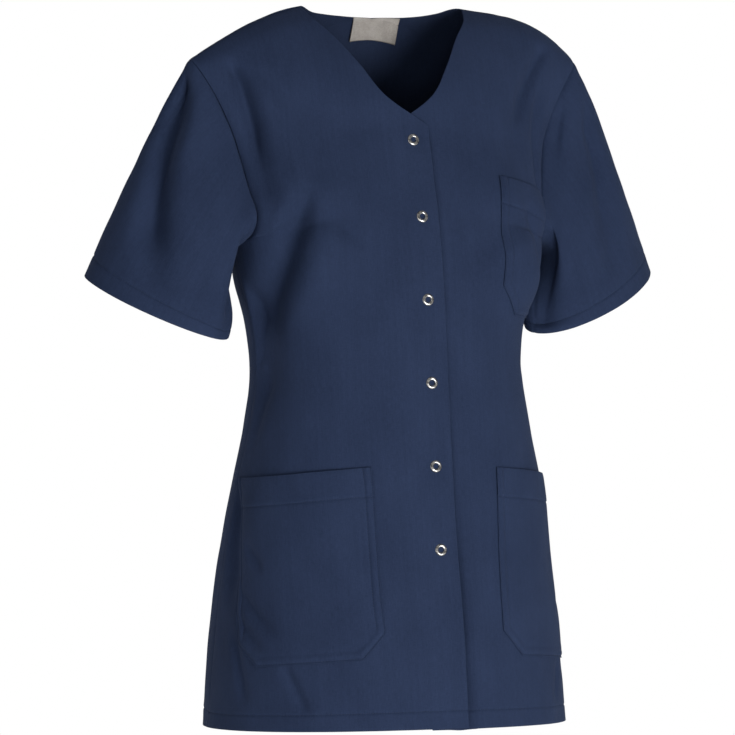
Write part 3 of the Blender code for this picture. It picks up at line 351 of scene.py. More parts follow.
def sewn_edges(at, edge, girth, hem, seeds, start=0):
    """What the hem, side, armhole and shoulder seams do to a panel: they sink it a little and draw waves."""
    waves = seam_pucker(girth, hem - HEM_LINE, seeds[0], HEM_PUCKER)
    swing = drift(girth / 0.045 + start, np.full_like(hem, 3.5), seeds[1])
    waves += HEM_SWING * swing * (1 - smooth_step(hem, 0.0, 0.055))
    waves += seam_pucker(at, edge, seeds[2], 0.00028, 0.013, 0.007)
    sunk = groove(hem - HEM_LINE)
    for off in (edge, at - station("shoulder")):
        sunk += SEAM_SINK * np.exp(-((off / SEAM_REACH) ** 2))
    return waves * smooth_step(edge, 0.0, 0.004) - sunk


def broad_folds(table, side, girth, height):
    """How deep the broad folds of one side lie at each place."""
    deep = np.zeros_like(girth)
    for _, of, ga, za, gb, zb, wa, wb, depth in table:
        if of != side:
            continue
        reach = math.hypot(gb - ga, zb - za)
        across, down = (gb - ga) / reach, (zb - za) / reach
        s = ((girth - ga) * across + (height - za) * down) / reach
        inside = np.clip(s, 0, 1)
        off = np.hypot(girth - ga - inside * reach * across, height - za - inside * reach * down)
        width = wa + (wb - wa) * inside
        deep += depth * np.exp(-((off / width) ** 2)) * (0.4 + 0.6 * smooth_step(s, -0.1, 0.5))
    return deep


def creases(table, side, u, v):
    """How deep the finer creases of one side lie at each place."""
    fine = np.zeros_like(u)
    for *_, of, path, left, right, depth, ends in table:
        if of == side:
            fine += trough(u, v, path, left, right, depth, ends)
    return fine


def front_raise(side, at, along, point):
    """How far the front's cloth lies out from its bare surface."""
    girth = girth_at(at, along)
    height, edge = point[..., 2], row_length(side, at) - along
    x = np.abs(point[..., 0])
    lap = -side * (1 - smooth_step(x, LAP_FULL, LAP_END)) * (LAP_GAP + CAD_WALL) / 2
    deep = broad_folds(FRONT_FOLDS, side, girth, height) * smooth_step(edge, 0.0, 0.02)
    fine = creases(FRONT_CREASES, side, girth, height)
    fine += 0.0006 * drift(girth / 0.035 + 9, height / 0.060 + 20, 11 + side)
    fine += 0.0003 * drift(girth / 0.014 + 9, height / 0.024 + 70, 15 + side)
    fine *= smooth_step(edge, 0.0, 0.012)
    sewn = sewn_edges(at, edge, girth, at, (31 + side, 51 + side, 71 + side))
    if side < 0:
        for z in STUD_HEIGHTS:
            sewn -= STUD_DIMPLE * np.exp(-((np.hypot(girth, height - z) / STUD_REACH) ** 2))
    return lap - deep - fine + sewn


def front_skin(side, at, along):
    """Outer points of a front, with the way out from each."""
    point, normal = bare(side, at, along)
    return point + normal * front_raise(side, at, along, point)[..., None], normal


def fine_steps(start, end, step, near_start, near_end):
    """Numbers from start to end, closer together at both ends as the lists say."""
    low, high = start + np.array(near_start), end - np.array(near_end)[::-1]
    count = max(2, int(round((high[0] - low[-1]) / step)))
    return np.concatenate([low, np.linspace(low[-1], high[0], count + 1)[1:-1], high])


def grid_quads(rows, columns):
    i, j = np.meshgrid(np.arange(rows - 1), np.arange(columns - 1), indexing="ij")
    a = (i * columns + j).ravel()
    return np.stack([a, a + 1, a + columns + 1, a + columns], 1)


def grid_normals(grid, normal):
    n = unit(np.cross(np.gradient(grid, axis=1), np.gradient(grid, axis=0)))
    return n * np.sign((n * normal).sum(-1, keepdims=True) + 1e-12)


def show(name, data):
    piece = bpy.data.objects.new(name, data)
    bpy.context.scene.collection.objects.link(piece)
    return piece


def cloth_shell(name, outer, normal, thick, quads, corner_uv, material):
    """A closed thin shell: the outer layer, the inner one a thickness in, and a rounded rim between them."""
    n = len(outer)
    thick = np.broadcast_to(thick, n)[:, None]
    inner = outer - normal * thick
    edges = np.concatenate([quads[:, [k, (k + 1) % 4]] for k in range(4)])
    loop_uv = np.concatenate([corner_uv[:, [k, (k + 1) % 4]] for k in range(4)])
    key = edges[:, 0].astype(np.int64) * n + edges[:, 1]
    back_key = edges[:, 1].astype(np.int64) * n + edges[:, 0]
    rim = ~np.isin(key, back_key)
    (a, b), rim_uv = edges[rim].T, loop_uv[rim]
    out = np.zeros((n, 3))
    way = unit(np.cross(outer[b] - outer[a], normal[a]))
    np.add.at(out, a, way)
    np.add.at(out, b, way)
    on_rim = np.unique(edges[rim])
    m = len(on_rim)
    number = np.full(n, -1)
    number[on_rim] = np.arange(m) + 2 * n
    swell = unit(out[on_rim]) * thick[on_rim]
    rounding = [outer[on_rim] * share + inner[on_rim] * (1 - share) + swell * reach
                for share, reach in ((0.80, 0.30), (0.50, 0.42), (0.20, 0.30))]
    points = np.vstack([outer, inner, *rounding])
    layers = [(a, b), *((number[a] + k * m, number[b] + k * m) for k in range(3)), (a + n, b + n)]
    faces, uvs = [quads, quads[:, ::-1] + n], [corner_uv, corner_uv[:, ::-1]]
    for (p, q), (r, s) in zip(layers[:-1], layers[1:]):
        faces.append(np.stack([q, p, r, s], 1))
        uvs.append(rim_uv[:, [1, 0, 0, 1]])
    faces, uvs = np.concatenate(faces), np.concatenate(uvs)
    first, second = (points[faces[:, k]] - points[faces[:, 0]] for k in (1, 2))
    if (np.cross(first, second)[: len(quads)] * normal[quads[:, 0]]).sum() < 0:
        faces, uvs = faces[:, ::-1], uvs[:, ::-1]
    mesh = bpy.data.meshes.new(name)
    mesh.vertices.add(len(points))
    mesh.vertices.foreach_set("co", points.ravel())
    mesh.loops.add(faces.size)
    mesh.loops.foreach_set("vertex_index", faces.ravel().astype(np.int32))
    mesh.polygons.add(len(faces))
    mesh.polygons.foreach_set("loop_start", np.arange(0, faces.size, 4, dtype=np.int32))
    mesh.update(calc_edges=True)
    mesh.uv_layers.new(name="cloth").data.foreach_set("uv", uvs.reshape(-1))
    mesh.polygons.foreach_set("use_smooth", np.ones(len(faces), bool))
    # the inner layer is marked "inside"; the cloth material paints it darker, a painted shade for the shadow
    # inside the garment
    inner_layer_mask = np.repeat([0.0, 1.0, 0.0], [n, n, 3 * m]).astype(np.float32)
    mesh.attributes.new("inside", "FLOAT", "POINT").data.foreach_set("value", inner_layer_mask)
    mesh.materials.append(material)
    mesh.validate()
    mesh.update()
    return show(name, mesh)


def grid_shell(name, outer, normal, thick, cloth_place, material):
    """A shell whose outer layer is one grid, with each point's place on the flat cloth."""
    quads = grid_quads(*outer.shape[:2])
    uv = np.stack(cloth_place, -1).reshape(-1, 2)
    return cloth_shell(name, outer.reshape(-1, 3), normal.reshape(-1, 3), np.ravel(thick), quads, uv[quads],
                       material)


def feed(tree, n, inputs):
    """Sets or links a node's inputs by name or number."""
    for key, value in inputs.items():
        if isinstance(value, bpy.types.NodeSocket):
            tree.links.new(value, n.inputs[key])
        else:
            n.inputs[key].default_value = value


def node(tree, kind, inputs=None, **settings):
    """Adds a node, sets its properties and feeds its inputs."""
    n = tree.nodes.new(kind)
    for key, value in settings.items():
        setattr(n, key, value)
    feed(tree, n, inputs or {})
    return n


def new_material(name):
    material = bpy.data.materials.new(name)
    material.use_nodes = True
    return material, material.node_tree, material.node_tree.nodes["Principled BSDF"]


def poly_cotton(name, navy, deep, weave=0.00062):
    """Navy poly-cotton twill: fine slanting ribs, yarns that differ a little in shade, a soft bloom, and
    painted shade on the inner layer.
    """
    material, tree, shader = new_material(name)
    where = node(tree, "ShaderNodeUVMap", uv_map="cloth").outputs["UV"]
    u, v = node(tree, "ShaderNodeSeparateXYZ", {0: where}).outputs[0:2]

    def stretched(across, along, detail=2.0, rough=0.6):
        mapped = node(tree, "ShaderNodeMapping", {0: where, "Scale": (1 / across, 1 / along, 1.0)})
        inputs = {"Vector": mapped.outputs[0], "Scale": 1.0, "Detail": detail, "Roughness": rough}
        return node(tree, "ShaderNodeTexNoise", inputs, noise_dimensions="2D").outputs["Fac"]

    def sums(operation, a, b):
        return node(tree, "ShaderNodeMath", {0: a, 1: b}, operation=operation).outputs[0]

    mottle = stretched(0.0016, 0.0020, 3.0, 0.7)
    heather = sums("MULTIPLY", stretched(0.0007, 0.0070), 0.40)  # the warp yarns
    for shade, weight in (
        (stretched(0.0060, 0.0007), 0.28),  # the weft yarns
        (mottle, 0.26),
        (stretched(0.0030, 0.110, 3.0, 0.6), 0.20),  # thick places in the yarn
        (stretched(0.045, 0.070, 3.0, 0.5), 0.30),  # slow clouds
    ):
        heather = sums("ADD", heather, sums("MULTIPLY", shade, weight))
    tone = node(tree, "ShaderNodeMapRange", {"Value": heather, "From Min": 0.46, "From Max": 1.13})
    colour = node(tree, "ShaderNodeMix", {"Factor": tone.outputs[0]}, data_type="RGBA")
    # the sockets of a colour Mix carry their own numbers
    colour.inputs[6].default_value, colour.inputs[7].default_value = (*deep, 1.0), (*navy, 1.0)
    # painted shade: the inner layer, marked "inside", is painted darker to stand in for the shadow inside the
    # garment
    within = node(tree, "ShaderNodeAttribute", attribute_name="inside").outputs["Fac"]
    inside_darkening_range = {"Value": within, "To Min": 1.0, "To Max": INSIDE_PAINTED_SHADE}
    inside_painted_shade = node(tree, "ShaderNodeMapRange", inside_darkening_range).outputs[0]
    colour_and_painted_shade = node(tree, "ShaderNodeVectorMath", {0: colour.outputs[2], "Scale": inside_painted_shade}, operation="SCALE")
    slant = sums("MULTIPLY", sums("ADD", u, sums("MULTIPLY", v, 0.55)), 2 * math.pi / weave)
    rib = sums("SINE", slant, 0.0)
    pick = sums("SINE", sums("MULTIPLY", v, 2 * math.pi / (weave * 0.8)), 0.0)
    woven = sums("ADD", sums("MULTIPLY", rib, 0.5), sums("MULTIPLY", pick, 0.25))
    woven = sums("ADD", woven, sums("MULTIPLY", heather, 0.5))
    bump = node(tree, "ShaderNodeBump", {"Strength": 0.55, "Distance": 0.00012, "Height": woven})
    soft = node(tree, "ShaderNodeBump", {"Strength": 0.20, "Distance": 0.0002, "Height": mottle,
                                         "Normal": bump.outputs[0]})
    rough = node(tree, "ShaderNodeMapRange", {"Value": mottle, "To Min": 0.78, "To Max": 0.92})
    feed(tree, shader, {
        "Base Color": colour_and_painted_shade.outputs[0], "Normal": soft.outputs[0], "Roughness": rough.outputs[0],
        "Specular IOR Level": 0.12, "Sheen Weight": 0.05, "Sheen Roughness": 0.45,
        "Sheen Tint": (0.45, 0.60, 1.0, 1.0),
    })
    return material


cloth_navy = poly_cotton("navy poly-cotton", NAVY, NAVY_DEEP)
EDGE_STEPS = (0.0, 0.0004, 0.0010, 0.0019, 0.0032)
HEM_STEPS = (0.0, 0.0005, 0.0013, 0.0026, 0.0045, 0.0070, 0.0098, 0.0124, 0.0144, 0.0156, 0.0164, 0.0170,
             0.0176, 0.0184, 0.0197, 0.0215)


def panel_columns(side, at, count):
    """For each row of a panel the distances from its inner edge, closer together beside both edges."""
    length, near = row_length(side, at)[:, None], np.array(EDGE_STEPS)
    middle = near[-1] + (length - 2 * near[-1]) * np.linspace(0, 1, count + 1)[1:-1]
    return np.hstack([np.broadcast_to(near, (len(at), len(near))), middle, length - near[::-1]])


def hemmed(above):
    """The cloth's thickness at a height above the hem, more below the hem's stitch line."""
    return SHELL + HEM_MORE * (1 - smooth_step(above, HEM_LINE, HEM_LINE + 0.0012))


def front_panel(name, side):
    at = fine_steps(0.0, station("shoulder"), 0.00235, HEM_STEPS, EDGE_STEPS)
    along = panel_columns(side, at, 96)
    stations = np.repeat(at[:, None], along.shape[1], 1)
    outer, normal = front_skin(side, stations, along)
    outer[-1, :, 1] -= SEAM_GAP / 2
    outer[at <= station("underarm") + 1e-6, -1, 1] -= SEAM_GAP / 2
    thick = hemmed(stations) + FACING_MORE * (1 - smooth_step(along, FACING, FACING + 0.001))
    place_on_cloth = (girth_at(stations, along) * side, stations)
    return grid_shell(name, outer, grid_normals(outer, normal), thick, place_on_cloth, cloth_navy)


THREAD_SIZES, STITCH_PITCH = {"Stitch length": 0.0022, "Thread width": 0.00042}, 0.0029


def flecked_material(name, colour, scale, detail, tones, roughs, strength, distance, others):
    """A colour that fine flecks make lighter or darker, rougher or smoother, and a little uneven."""
    material, tree, shader = new_material(name)
    noise = {"Vector": node(tree, "ShaderNodeTexCoord").outputs["Object"], "Scale": scale, "Detail": detail}
    fleck = node(tree, "ShaderNodeTexNoise", noise).outputs["Fac"]
    tone = node(tree, "ShaderNodeMapRange", {"Value": fleck, **tones}).outputs[0]
    shade = node(tree, "ShaderNodeVectorMath", {0: colour, "Scale": tone}, operation="SCALE")
    rough = node(tree, "ShaderNodeMapRange", {"Value": fleck, "To Min": roughs[0], "To Max": roughs[1]})
    bump = node(tree, "ShaderNodeBump", {"Strength": strength, "Distance": distance, "Height": fleck})
    feed(tree, shader, {"Base Color": shade.outputs[0], "Roughness": rough.outputs[0],
                        "Normal": bump.outputs[0], **others})
    return material


def stamp_tree(name, sizes, stamp, material):
    """Geometry Nodes: one stamp at each point. stamp adds its own nodes, from the group's inputs and the
    point's facing, and gives the instance, its rotation and its scale."""
    tree = bpy.data.node_groups.new(name, "GeometryNodeTree")
    tree.interface.new_socket("Geometry", in_out="INPUT", socket_type="NodeSocketGeometry")
    for size, value in sizes.items():
        tree.interface.new_socket(size, in_out="INPUT", socket_type="NodeSocketFloat").default_value = value
    tree.interface.new_socket("Geometry", in_out="OUTPUT", socket_type="NodeSocketGeometry")
    given = node(tree, "NodeGroupInput").outputs
    facing = node(tree, "GeometryNodeInputNamedAttribute", {"Name": "facing"}, data_type="FLOAT_VECTOR")
    shape, turned, scale = stamp(tree, given, facing.outputs["Attribute"])
    placed = node(tree, "GeometryNodeInstanceOnPoints", {"Points": given["Geometry"], "Instance": shape,
                                                         "Rotation": turned, "Scale": scale})
    real = node(tree, "GeometryNodeRealizeInstances", {0: placed.outputs[0]})
    smooth = node(tree, "GeometryNodeSetShadeSmooth", {0: real.outputs[0]})
    dressed = node(tree, "GeometryNodeSetMaterial", {0: smooth.outputs[0], "Material": material})
    node(tree, "NodeGroupOutput", {0: dressed.outputs[0]})
    return tree


def stitch(tree, given, facing):
    """One small stitch, lying along its heading on the cloth."""
    width = given["Thread width"]
    size = node(tree, "ShaderNodeCombineXYZ", {0: given["Stitch length"], 1: width, 2: width})
    loop = node(tree, "GeometryNodeMeshUVSphere", {"Segments": 6, "Rings": 4, "Radius": 0.5})
    heading = node(tree, "GeometryNodeInputNamedAttribute", {"Name": "heading"}, data_type="FLOAT_VECTOR")
    lie = node(tree, "FunctionNodeAlignRotationToVector", {"Vector": heading.outputs["Attribute"]}, axis="X")
    up = node(tree, "FunctionNodeAlignRotationToVector", {"Rotation": lie.outputs[0], "Vector": facing},
              axis="Z", pivot_axis="X")
    return loop.outputs[0], up.outputs[0], size.outputs[0]


def stitch_row(points, normals, lift=0.00005):
    """Places for a row of stitches along points on the cloth: where, heading and facing of each."""
    run = running_length(points)
    count = max(1, int(run[-1] / STITCH_PITCH))
    at = (np.arange(count) + 0.5) * run[-1] / count

    def along(values, places):
        return np.stack([np.interp(places, run, values[:, k]) for k in range(3)], -1)

    facing = unit(along(normals, at))
    heading = unit(along(points, at + 0.001) - along(points, at - 0.001))
    return along(points, at) + facing * lift, heading, facing


def stamped(name, places, ways, tree, sizes):
    """One piece of all the stamps at these places. The modifier gets its sizes by socket identifier."""
    mesh = bpy.data.meshes.new(name)
    mesh.from_pydata(places.tolist(), [], [])
    for key, value in ways.items():
        mesh.attributes.new(key, "FLOAT_VECTOR", "POINT").data.foreach_set("vector", value.ravel())
    piece = show(name, mesh)
    modifier = piece.modifiers.new(name, "NODES")
    modifier.node_group = tree
    for item in tree.interface.items_tree:
        if item.item_type == "SOCKET" and item.in_out == "INPUT" and item.name in sizes:
            modifier[item.identifier] = sizes[item.name]
    made = bpy.data.meshes.new_from_object(piece.evaluated_get(bpy.context.evaluated_depsgraph_get()))
    piece.modifiers.clear()
    piece.data = made
    for key in ways:
        if key in made.attributes:
            made.attributes.remove(made.attributes[key])
    return piece


def sew(name, rows):
    """Makes one mesh of all the stitches of these rows."""
    where, heading, facing = (np.vstack([row[k] for row in rows]) for k in range(3))
    piece = stamped(name, where, {"heading": heading, "facing": facing}, lockstitch, THREAD_SIZES)
    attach(piece, "root")
    return piece


def skin_row(skin, side, at, along, step=0.0008):
    """A path over a panel, with the cloth's own normals."""
    across = skin(side, at, along + step)[0] - skin(side, at, along - step)[0]
    up = skin(side, at + step, along)[0] - skin(side, at - step, along)[0]
    return skin(side, at, along)[0], unit(np.cross(across, up)) * side


# polyester sewing thread: a twisted gloss along a dark navy
thread = flecked_material("navy thread", (0.014, 0.025, 0.058), 900.0, 2.0, {"To Min": 0.7, "To Max": 1.3},
                          (0.55, 0.55), 0.4, 0.00005, {"Specular IOR Level": 0.25})
lockstitch = stamp_tree("row of stitches", THREAD_SIZES, stitch, thread)


def hem_row(skin, side, at):
    """The stitches along one half of the hem, at this station."""
    at = np.full(320, at)
    return stitch_row(*skin_row(skin, side, at, np.linspace(0.004, 0.996, 320) * row_length(side, at)))


right_front = front_panel("right_front_cloth", -1)
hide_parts("right_front")
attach(right_front, "root")
right_front_sewing = sew("right_front_sewing", [hem_row(front_skin, -1, HEM_LINE)])

# ================================================================ left front
# The wearer's left front, the mirror cut of the right one. It lies under it along the front edge and carries
# the chest pocket; more cloth falls from the bust on this side.
left_front = front_panel("left_front_cloth", 1)
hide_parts("left_front")
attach(left_front, "root")
left_front_sewing = sew("left_front_sewing", [hem_row(front_skin, 1, HEM_LINE)])

# ================================================================ back
# The back in one piece, from the neck down over the shoulder blades and in at the waist, sewn to the fronts
# at the shoulders and sides. It hangs in a few long soft folds, at the waist, the seat and beside the arms.
BACK_FOLDS = (
    ("waist_right", -1, 0.070, -0.250, 0.078, -0.440, 0.018, 0.020, 0.0045),
    ("waist_left", 1, 0.072, -0.260, 0.080, -0.430, 0.018, 0.020, 0.0045),
)
BACK_CREASES = (
    ("waist fold", -1, ((0.066, -0.225), (0.071, -0.300), (0.076, -0.370), (0.080, -0.455)), 0.009, 0.007,
     0.0050, (0.3, 0.4)),
    ("waist fold", 1, ((0.068, -0.235), (0.073, -0.300), (0.077, -0.360), (0.081, -0.440)), 0.007, 0.009,
     0.0055, (0.3, 0.4)),
    ("waist drag", -1, ((0.150, -0.325), (0.120, -0.345), (0.095, -0.352)), 0.007, 0.009, 0.0032, (0.3,
     0.5)),
    ("waist drag", 1, ((0.155, -0.320), (0.128, -0.338), (0.105, -0.343)), 0.007, 0.009, 0.0030, (0.3,
     0.5)),
    ("waist low drag", -1, ((0.160, -0.362), (0.132, -0.378), (0.104, -0.384)), 0.007, 0.009, 0.0026, (0.3,
     0.5)),
    ("armhole fold", -1, ((0.176, -0.055), (0.167, -0.095), (0.164, -0.130), (0.162, -0.180)), 0.010,
     0.007, 0.0062, (0.3, 0.3)),
    ("armhole fold", 1, ((0.177, -0.050), (0.168, -0.090), (0.164, -0.130), (0.160, -0.185)), 0.008, 0.009,
     0.0066, (0.3, 0.3)),
    ("blade drag", -1, ((0.150, -0.150), (0.120, -0.170), (0.095, -0.195)), 0.010, 0.012, 0.0030, (0.3,
     0.5)),
    ("blade drag", 1, ((0.148, -0.160), (0.122, -0.182), (0.100, -0.215)), 0.010, 0.012, 0.0034, (0.3,
     0.5)),
    ("side fold", -1, ((0.150, -0.215), (0.148, -0.260), (0.144, -0.310)), 0.010, 0.012, 0.0044, (0.3,
     0.4)),
    ("side fold", 1, ((0.152, -0.220), (0.149, -0.265), (0.145, -0.305)), 0.010, 0.012, 0.0040, (0.3,
     0.4)),
    ("seat swing", -1, ((0.105, -0.470), (0.120, -0.560), (0.128, -0.700)), 0.018, 0.022, 0.0056, (0.4,
     0.02)),
    ("seat swing", 1, ((0.098, -0.480), (0.112, -0.570), (0.122, -0.700)), 0.020, 0.018, 0.0062, (0.4,
     0.02)),
    ("middle swing", 1, ((0.030, -0.520), (0.034, -0.600), (0.040, -0.705)), 0.018, 0.014, 0.0040, (0.4,
     0.02)),
    ("middle swing", -1, ((0.052, -0.560), (0.058, -0.630), (0.062, -0.705)), 0.014, 0.016, 0.0030, (0.4,
     0.02)),
    ("hem drag", -1, ((0.170, -0.640), (0.176, -0.690)), 0.008, 0.008, 0.0020, (0.4, 0.2)),
)


def back_raise(side, at, along, point):
    """How far the back's cloth lies out from its bare surface."""
    girth = girth_at(at, along)
    height, edge = point[..., 2], row_length(side, at) - along
    deep = broad_folds(BACK_FOLDS, side, girth, height)
    deep *= smooth_step(edge, 0.0, 0.02) * smooth_step(girth, 0.0, 0.02)
    across = girth * side
    fine = creases(BACK_CREASES, side, girth, height)
    fine += 0.0007 * drift(across / 0.040 + 29, height / 0.070 + 20, 17)
    fine += 0.0003 * drift(across / 0.015 + 29, height / 0.026 + 70, 19)
    fine *= smooth_step(edge, 0.0, 0.012)
    return sewn_edges(at, edge, across, STATIONS[-1] - at, (37, 57, 77 + side), 9) - deep - fine


def back_skin(side, at, along):
    point, normal = bare(side, at, along)
    return point + normal * back_raise(side, at, along, point)[..., None], normal


def back_panel(name):
    top, nape = station("shoulder"), station("nape")
    upper = fine_steps(top, nape, 0.0027, EDGE_STEPS, (0.0,))
    lower = STATIONS[-1] - fine_steps(0.0, STATIONS[-1] - nape, 0.0029, HEM_STEPS, EDGE_STEPS)[::-1]
    at = np.concatenate([upper, lower[1:]])
    nape_row = len(upper) - 1
    points, normals, uvs, quads, thick = [], [], [], [], []
    for side in (-1, 1):
        along = panel_columns(side, at, 74)
        stations = np.repeat(at[:, None], along.shape[1], 1)
        outer, normal = back_skin(side, stations, along)
        outer[0, :, 1] += SEAM_GAP / 2
        outer[at >= station("underarm_back") - 1e-6, -1, 1] += SEAM_GAP / 2
        normal = grid_normals(outer, normal)
        normal[nape_row:, 0, 0] = 0.0
        normal = unit(normal)
        number = np.arange(along.size).reshape(along.shape)
        if side > 0:  # both halves share the points down the middle of the back
            shared = number[nape_row:, 0].copy()
            number += along.size
            number[nape_row:, 0] = shared
        quad = number.ravel()[grid_quads(*along.shape)]
        quads.append(quad if side < 0 else quad[:, ::-1])
        points.append(outer.reshape(-1, 3))
        normals.append(normal.reshape(-1, 3))
        uvs.append(np.stack([girth_at(stations, along) * side, stations], -1).reshape(-1, 2))
        thick.append(hemmed(STATIONS[-1] - stations).ravel())
    points, normals, uvs = np.vstack(points), np.vstack(normals), np.vstack(uvs)
    quads, thick = np.concatenate(quads), np.concatenate(thick)
    used, renumbered = np.unique(quads, return_inverse=True)
    quads = renumbered.reshape(quads.shape)
    return cloth_shell(name, points[used], normals[used], thick[used], quads, uvs[used][quads], cloth_navy)


back = back_panel("back_cloth")
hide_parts("back")
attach(back, "root")
back_sewing = sew("back_sewing", [hem_row(back_skin, side, STATIONS[-1] - HEM_LINE) for side in (-1, 1)])

# ================================================================ sleeves
# Two short set-in sleeves, each cut in one piece and closed by a seam under the arm, with a narrow
# turned-up cuff hem. They hang as if filled by an arm, with a long soft fold down the front of each.
CUFF = ("side", "x", "y", "z", "half_long", "half_deep", "plan", "slope", "lean", "dip")
CUFFS = (
    (-1, 0.2500, 0.006, -0.2806, 0.0802, 0.050, 24, 24, 25, 20),
    (1, 0.2417, 0.006, -0.2724, 0.0910, 0.044, 20, 23.5, 9, 14),
)
LEAVINGS = {
    -1: (
        (0.00, 0.56, 0.00, 0.83, 0.20),
        (0.13, 0.80, 0.30, 0.52, 0.30),
        (0.28, 0.60, 0.40, 0.70, 0.32),
        (0.40, 0.88, 0.10, 0.45, 0.17),
        (0.50, 0.94, 0.00, 0.34, 0.20),
        (0.60, 0.88, -0.10, 0.45, 0.24),
        (0.70, 0.80, -0.40, 0.45, 0.36),
        (0.87, 0.80, -0.30, 0.52, 0.30),
    ),
    1: (
        (0.00, 0.55, 0.00, 0.83, 0.26),
        (0.13, 0.75, 0.30, 0.58, 0.32),
        (0.28, 0.60, 0.40, 0.70, 0.32),
        (0.40, 0.94, 0.12, 0.32, 0.24),
        (0.50, 0.96, 0.00, 0.28, 0.25),
        (0.60, 0.88, -0.10, 0.45, 0.24),
        (0.70, 0.80, -0.40, 0.45, 0.36),
        (0.87, 0.75, -0.30, 0.58, 0.32),
    ),
}
# Folds: side, share of the way round and down at both ends, width in shares of the way round, depth.
SLEEVE_FOLDS = (
    (-1, 0.02, 0.12, 0.21, 0.85, 0.045, 0.0080),
    (-1, 0.44, 0.20, 0.46, 0.95, 0.050, 0.0050),
    (1, 0.12, 0.10, 0.17, 0.35, 0.045, 0.0050),
    (1, 0.06, 0.18, 0.23, 0.80, 0.040, 0.0050),
    (1, 0.43, 0.15, 0.45, 0.95, 0.060, 0.0070),
)
# Finer creases: side, path as (metres round from the shoulder, metres down), widths, depth, fading ends.
SLEEVE_CREASES = (
    (-1, ((0.004, 0.016), (0.008, 0.055), (0.015, 0.085), (0.027, 0.108), (0.042, 0.128), (0.053, 0.150),
     (0.068, 0.190)), (0.012, 0.016), (0.011, 0.018), 0.0115, (0.15, 0.2)),
    (-1, ((0.036, 0.030), (0.050, 0.080), (0.076, 0.130)), 0.010, 0.012, -0.0030, (0.3, 0.4)),
    (-1, ((0.140, 0.030), (0.158, 0.090), (0.167, 0.150), (0.165, 0.215)), 0.014, 0.016, 0.0060, (0.3,
     0.3)),
    (-1, ((0.290, 0.040), (0.283, 0.090), (0.278, 0.150)), 0.008, 0.008, 0.0034, (0.3, 0.5)),
    (-1, ((0.325, 0.030), (0.318, 0.080), (0.312, 0.130)), 0.009, 0.009, 0.0020, (0.3, 0.5)),
    (1, ((0.036, 0.006), (0.048, 0.010), (0.064, 0.018), (0.080, 0.030)), 0.006, 0.007, 0.0040, (0.3,
     0.5)),
    (1, ((0.018, 0.034), (0.034, 0.060), (0.047, 0.090), (0.062, 0.115), (0.072, 0.140), (0.080, 0.168)),
     0.007, 0.012, 0.0066, (0.25, 0.4)),
    (1, ((0.150, 0.006), (0.156, 0.070), (0.162, 0.130), (0.168, 0.228)), 0.040, 0.030, 0.0055, (0.3,
     0.06)),
    (1, ((0.285, 0.035), (0.280, 0.090), (0.276, 0.150)), 0.008, 0.008, 0.0036, (0.3, 0.5)),
)
SLEEVE_ROUND = 240  # steps round a sleeve
SLEEVE_ROUND_METRES, SLEEVE_DOWN_METRES = 0.36, 0.235
CUFF_PULL = 0.42  # how far up from the cuff the cloth runs along the arm, in shares of its way


def armhole_ring(side):
    """The armhole from the shoulder over the front to the underarm and up the back, and the share of the way
    round of each point."""
    down = np.linspace(station("shoulder"), station("underarm"), 260)
    up = np.linspace(station("underarm_back"), station("shoulder"), 260)
    front = front_skin(side, down, row_length(side, down))[0]
    rear = back_skin(side, up, row_length(side, up))[0]
    ring = np.vstack([front, rear[1:]])
    run = running_length(ring)
    under = len(front) - 1
    share = np.where(np.arange(len(run)) <= under, run / run[under] / 2,
                     0.5 + (run - run[under]) / (run[-1] - run[under]) / 2)
    return ring, share


def sleeve_skin(side, share, down):
    """Outer points of a sleeve: share of the way round from the shoulder over the front, share down."""
    ring, ring_share = armhole_ring(side)
    start = np.stack([np.interp(share, ring_share, ring[:, k]) for k in range(3)], -1)
    table = np.array(LEAVINGS[side], float)
    table = np.vstack([table[-2:] - [1, 0, 0, 0, 0], table, table[:2] + [1, 0, 0, 0, 0]])
    leave = hermite(table[:, 0], table[:, 1:], share, ())
    way = unit(np.stack([side * leave[:, 0], -leave[:, 1], -leave[:, 2]], 1))
    c = dict(zip(CUFF, next(row for row in CUFFS if row[0] == side)))
    plan, slope, lean, dip = (math.radians(c[k]) for k in ("plan", "slope", "lean", "dip"))
    centre = np.array([side * c["x"], c["y"], c["z"]])
    long_axis = np.array([side * math.cos(plan) * math.cos(slope), math.sin(plan) * math.cos(slope),
                          math.sin(slope)])
    axis = np.array([side * math.sin(lean), 0.0, -math.cos(lean)])
    axis = unit(axis - long_axis * float(axis @ long_axis))
    front_axis = np.cross(long_axis, axis)
    front_axis = front_axis * (-1 if front_axis[1] > 0 else 1)
    front_axis = front_axis * math.cos(dip) + axis * math.sin(dip)
    turn = 2 * math.pi * share
    cuff = centre + np.outer(np.cos(turn) * c["half_long"], long_axis)
    cuff = cuff + np.outer(np.sin(turn) * c["half_deep"], front_axis)
    reach = np.linalg.norm(cuff - start, axis=1)
    start = start + way * (SEAM_GAP * 2)
    first = start + way * (leave[:, 3] * reach)[:, None]
    second = cuff - axis * (CUFF_PULL * reach)[:, None]
    s = down[:, None, None]
    return start * (1 - s) ** 3 + first * 3 * s * (1 - s) ** 2 + second * 3 * s**2 * (1 - s) + cuff * s**3


def loop_normals(grid):
    around = np.roll(grid, -1, axis=1) - np.roll(grid, 1, axis=1)
    n = unit(np.cross(around, np.gradient(grid, axis=0)))
    return n * np.sign((n * (grid - grid.mean(axis=1, keepdims=True))).sum())


